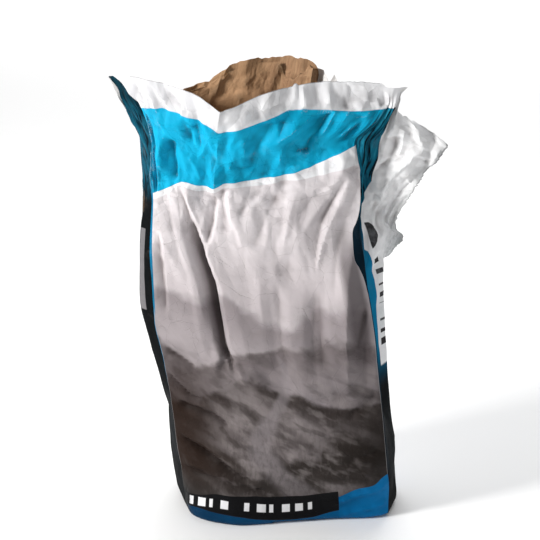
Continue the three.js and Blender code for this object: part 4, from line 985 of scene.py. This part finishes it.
def base_material():
    """underside of the block bottom: two end triangles under two glued long flaps"""
    N = Nodes('block_bottom')
    vec, u, v0 = N.uv()
    v = N.m('ADD', v0, 1.0)
    line = lambda d, w: N.m('SUBTRACT', 1.0, N.m('DIVIDE', N.m('ABSOLUTE', d), w), clamp=True)
    inv = lambda x: N.m('SUBTRACT', 1.0, x)
    mid = N.m('SUBTRACT', v, 0.012)
    flap = inv(N.step(mid, 0.0, 0.0008))
    tri_r = N.m('SUBTRACT', N.m('ADD', N.m('SUBTRACT', 0.150, u), 0.0), N.m('MULTIPLY', N.m('ABSOLUTE', mid), -0.9))
    tri_l = N.m('SUBTRACT', N.m('ADD', u, 0.130), N.m('MULTIPLY', N.m('ABSOLUTE', mid), -0.9))
    creases = N.m('MAXIMUM', line(mid, 0.0016), N.m('MAXIMUM', line(N.m('SUBTRACT', tri_r, 0.03), 0.0016), line(N.m('SUBTRACT', tri_l, 0.03), 0.0016)))
    n1 = N.noise(vec, 40.0, 5.0, 0.6)
    col = N.mix(N.mul(N.soft(n1, 0.4, 0.7), 0.25), rgb(12, 96, 156), rgb(20, 60, 92))
    col = N.mix(N.mul(flap, 0.45), col, rgb(16, 118, 178))
    col = N.mix(N.mul(creases, 0.55), col, rgb(190, 196, 200))
    scuff = N.mul(N.soft(N.noise(vec, 90.0, 5.0, 0.7), 0.55, 0.72), 0.5)
    col = N.mix(scuff, col, rgb(168, 166, 160))
    N.put(N.bsdf.inputs['Base Color'], col)
    N.put(N.bsdf.inputs['Roughness'], N.m('ADD', 0.5, N.m('MULTIPLY', n1, 0.2)))
    h = N.m('ADD', N.m('MULTIPLY', flap, 0.5), N.m('MULTIPLY', creases, -0.6))
    b = N.bump(h, 0.0008, 0.9)
    b = N.bump(N.noise(vec, 90.0, 5.0, 0.6), 0.0012, 0.5, b)
    N.t.links.new(b, N.bsdf.inputs['Normal'])
    return N.mat


def floor_material():
    N = Nodes('studio_floor')
    tc = N.t.nodes.new('ShaderNodeTexCoord')
    n = N.t.nodes.new('ShaderNodeTexNoise'); N.t.links.new(tc.outputs['Object'], n.inputs['Vector']); n.inputs['Scale'].default_value = 3.0
    col = N.mix(N.mul(n.outputs[0], 0.3), rgb(250, 250, 250), rgb(246, 246, 247))
    N.put(N.bsdf.inputs['Base Color'], col)
    N.bsdf.inputs['Roughness'].default_value = 0.8
    return N.mat


# ---------------- the scene ----------------
def add_camera():
    """at the photograph's angle: from the front, a little to the right, looking 23 degrees down"""
    az, pitch, roll = math.radians(12.0), math.radians(23.0), math.radians(2.5)
    C = Vector((1.770 * math.sin(az), -1.770 * math.cos(az), 1.221))
    back = Vector((math.sin(az) * math.cos(pitch), -math.cos(az) * math.cos(pitch), math.sin(pitch)))
    right = (-back).cross(Vector((0, 0, 1))).normalized(); up = right.cross(-back)
    R = right * math.cos(roll) - up * math.sin(roll); U = right * math.sin(roll) + up * math.cos(roll)
    cam = bpy.data.cameras.new('camera'); ob = bpy.data.objects.new('camera', cam)
    cam.sensor_fit = 'HORIZONTAL'; cam.sensor_width = 36.0; cam.lens = 36.0 * 1120.0 / 540.0
    cam.clip_start = 0.05; cam.clip_end = 60
    ob.matrix_world = Matrix(((R.x, U.x, back.x, C.x), (R.y, U.y, back.y, C.y), (R.z, U.z, back.z, C.z), (0, 0, 0, 1)))
    bpy.context.scene.collection.objects.link(ob); bpy.context.scene.camera = ob


def area(name, loc, target, sx, sy, power, color=(1, 1, 1)):
    l = bpy.data.lights.new(name, 'AREA'); l.shape = 'RECTANGLE'; l.size = sx; l.size_y = sy; l.energy = power; l.color = color
    o = bpy.data.objects.new(name, l); o.location = loc
    o.rotation_euler = (Vector(target) - Vector(loc)).to_track_quat('-Z', 'Y').to_euler()
    bpy.context.scene.collection.objects.link(o)


def add_stage():
    me = bpy.data.meshes.new('floor')
    s = 12.0
    me.from_pydata([(-s, -s, 0), (s, -s, 0), (s, s, 0), (-s, s, 0)], [], [(0, 1, 2, 3)])
    o = bpy.data.objects.new('floor', me); me.materials.append(floor_material())
    bpy.context.scene.collection.objects.link(o)
    area('key', (-2.75, -1.65, 1.95), (0, 0, 0.45), 0.7, 0.7, 142, (1.0, 0.99, 0.975))
    area('fill', (2.4, -1.6, 1.2), (0, 0, 0.4), 1.6, 1.6, 4, (0.93, 0.96, 1.0))
    area('top', (0.0, 0.9, 2.6), (0, 0, 0.3), 1.8, 1.8, 30, (0.98, 0.99, 1.0))
    area('far', (0.0, 7.0, 3.5), (0, 7.0, 0), 9.0, 5.0, 330, (1, 1, 1))
    # the room: white behind the object, darker in front of it
    w = bpy.data.worlds.new('studio'); bpy.context.scene.world = w; w.use_nodes = True
    t = w.node_tree; bg = t.nodes['Background']
    tc = t.nodes.new('ShaderNodeTexCoord'); sx = t.nodes.new('ShaderNodeSeparateXYZ'); mr = t.nodes.new('ShaderNodeMapRange')
    t.links.new(tc.outputs['Generated'], sx.inputs[0]); t.links.new(sx.outputs[1], mr.inputs[0])
    mr.interpolation_type = 'SMOOTHSTEP'
    mr.inputs[1].default_value = -0.45; mr.inputs[2].default_value = 0.45; mr.inputs[3].default_value = 0.20; mr.inputs[4].default_value = 0.55
    bg.inputs[0].default_value = (1, 1, 1, 1)
    t.links.new(mr.outputs[0], bg.inputs[1])
    bpy.context.scene.view_settings.view_transform = 'Standard'


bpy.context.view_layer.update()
add_camera()
add_stage()
m_print = printed_material()
m_white = plain_paper('paper_reverse', rgb(226, 225, 224), rgb(206, 204, 200), rgb(238, 238, 238), 0.62, 0.5)
m_edge = plain_paper('torn_edge', rgb(236, 234, 230), rgb(206, 200, 190), rgb(244, 243, 240), 0.8, 0.8)
# the last colour is painted light on the kraft's lit back wall
m_kraft = plain_paper('kraft_paper', rgb(158, 122, 90), rgb(112, 82, 58), rgb(186, 152, 116), 0.74, 1.0, rgb(206, 164, 124))
m_kraft_edge = plain_paper('kraft_torn_edge', rgb(206, 178, 138), rgb(150, 116, 78), rgb(226, 204, 168), 0.85)
m_base = base_material()

outer, _, _, _, folds = build_outer([m_print, m_white, m_edge, m_base])
up_mid = lambda s: np.interp(s, [0, 430, 590, 640, 652, 662, 668, 675, 690, 705, 720, 735, 750, 765, 780, 795, 810, 825, 840, 855, 866, 872, 885, 900, 911, 920, 960, 1060],
                             [0, 0, 0, 0, 1, 8, 17, 20, 23, 24, 22, 20, 19, 22, 24.5, 27, 28.5, 27, 25, 21, 15, 10, 9, 9, 5, 0, 0, 0])
up_in = lambda s: np.interp(s, [0, 430, 590, 640, 652, 662, 668, 676, 684, 688, 694, 700, 704, 710, 716, 722, 730, 738, 750, 780, 810, 840, 858, 866, 874, 890, 902, 910, 925, 960, 1060],
                            [0, 0, 0, 0, 0, 3, 12, 14, 15, 4, -2, 3, -8, -13, -10, -14, -8, 10, 11, 16, 20, 16.5, 11, 4, 4, 5, 3, 0, 0, 0, 0])


middle = build_kraft('middle_kraft', 1.2, up_mid, 51, [m_kraft, m_kraft, m_kraft_edge, m_kraft], False, folds)
inner = build_kraft('inner_kraft', 2.6, up_in, 61, [m_kraft, m_kraft, m_kraft_edge, m_kraft], True, folds)
for ob, node, slot in ((outer, 'outer_ply', 'printed_paper'), (middle, 'middle_ply', 'kraft_paper'), (inner, 'inner_ply', 'kraft_paper')):
    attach(ob, 'root')
    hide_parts(node)
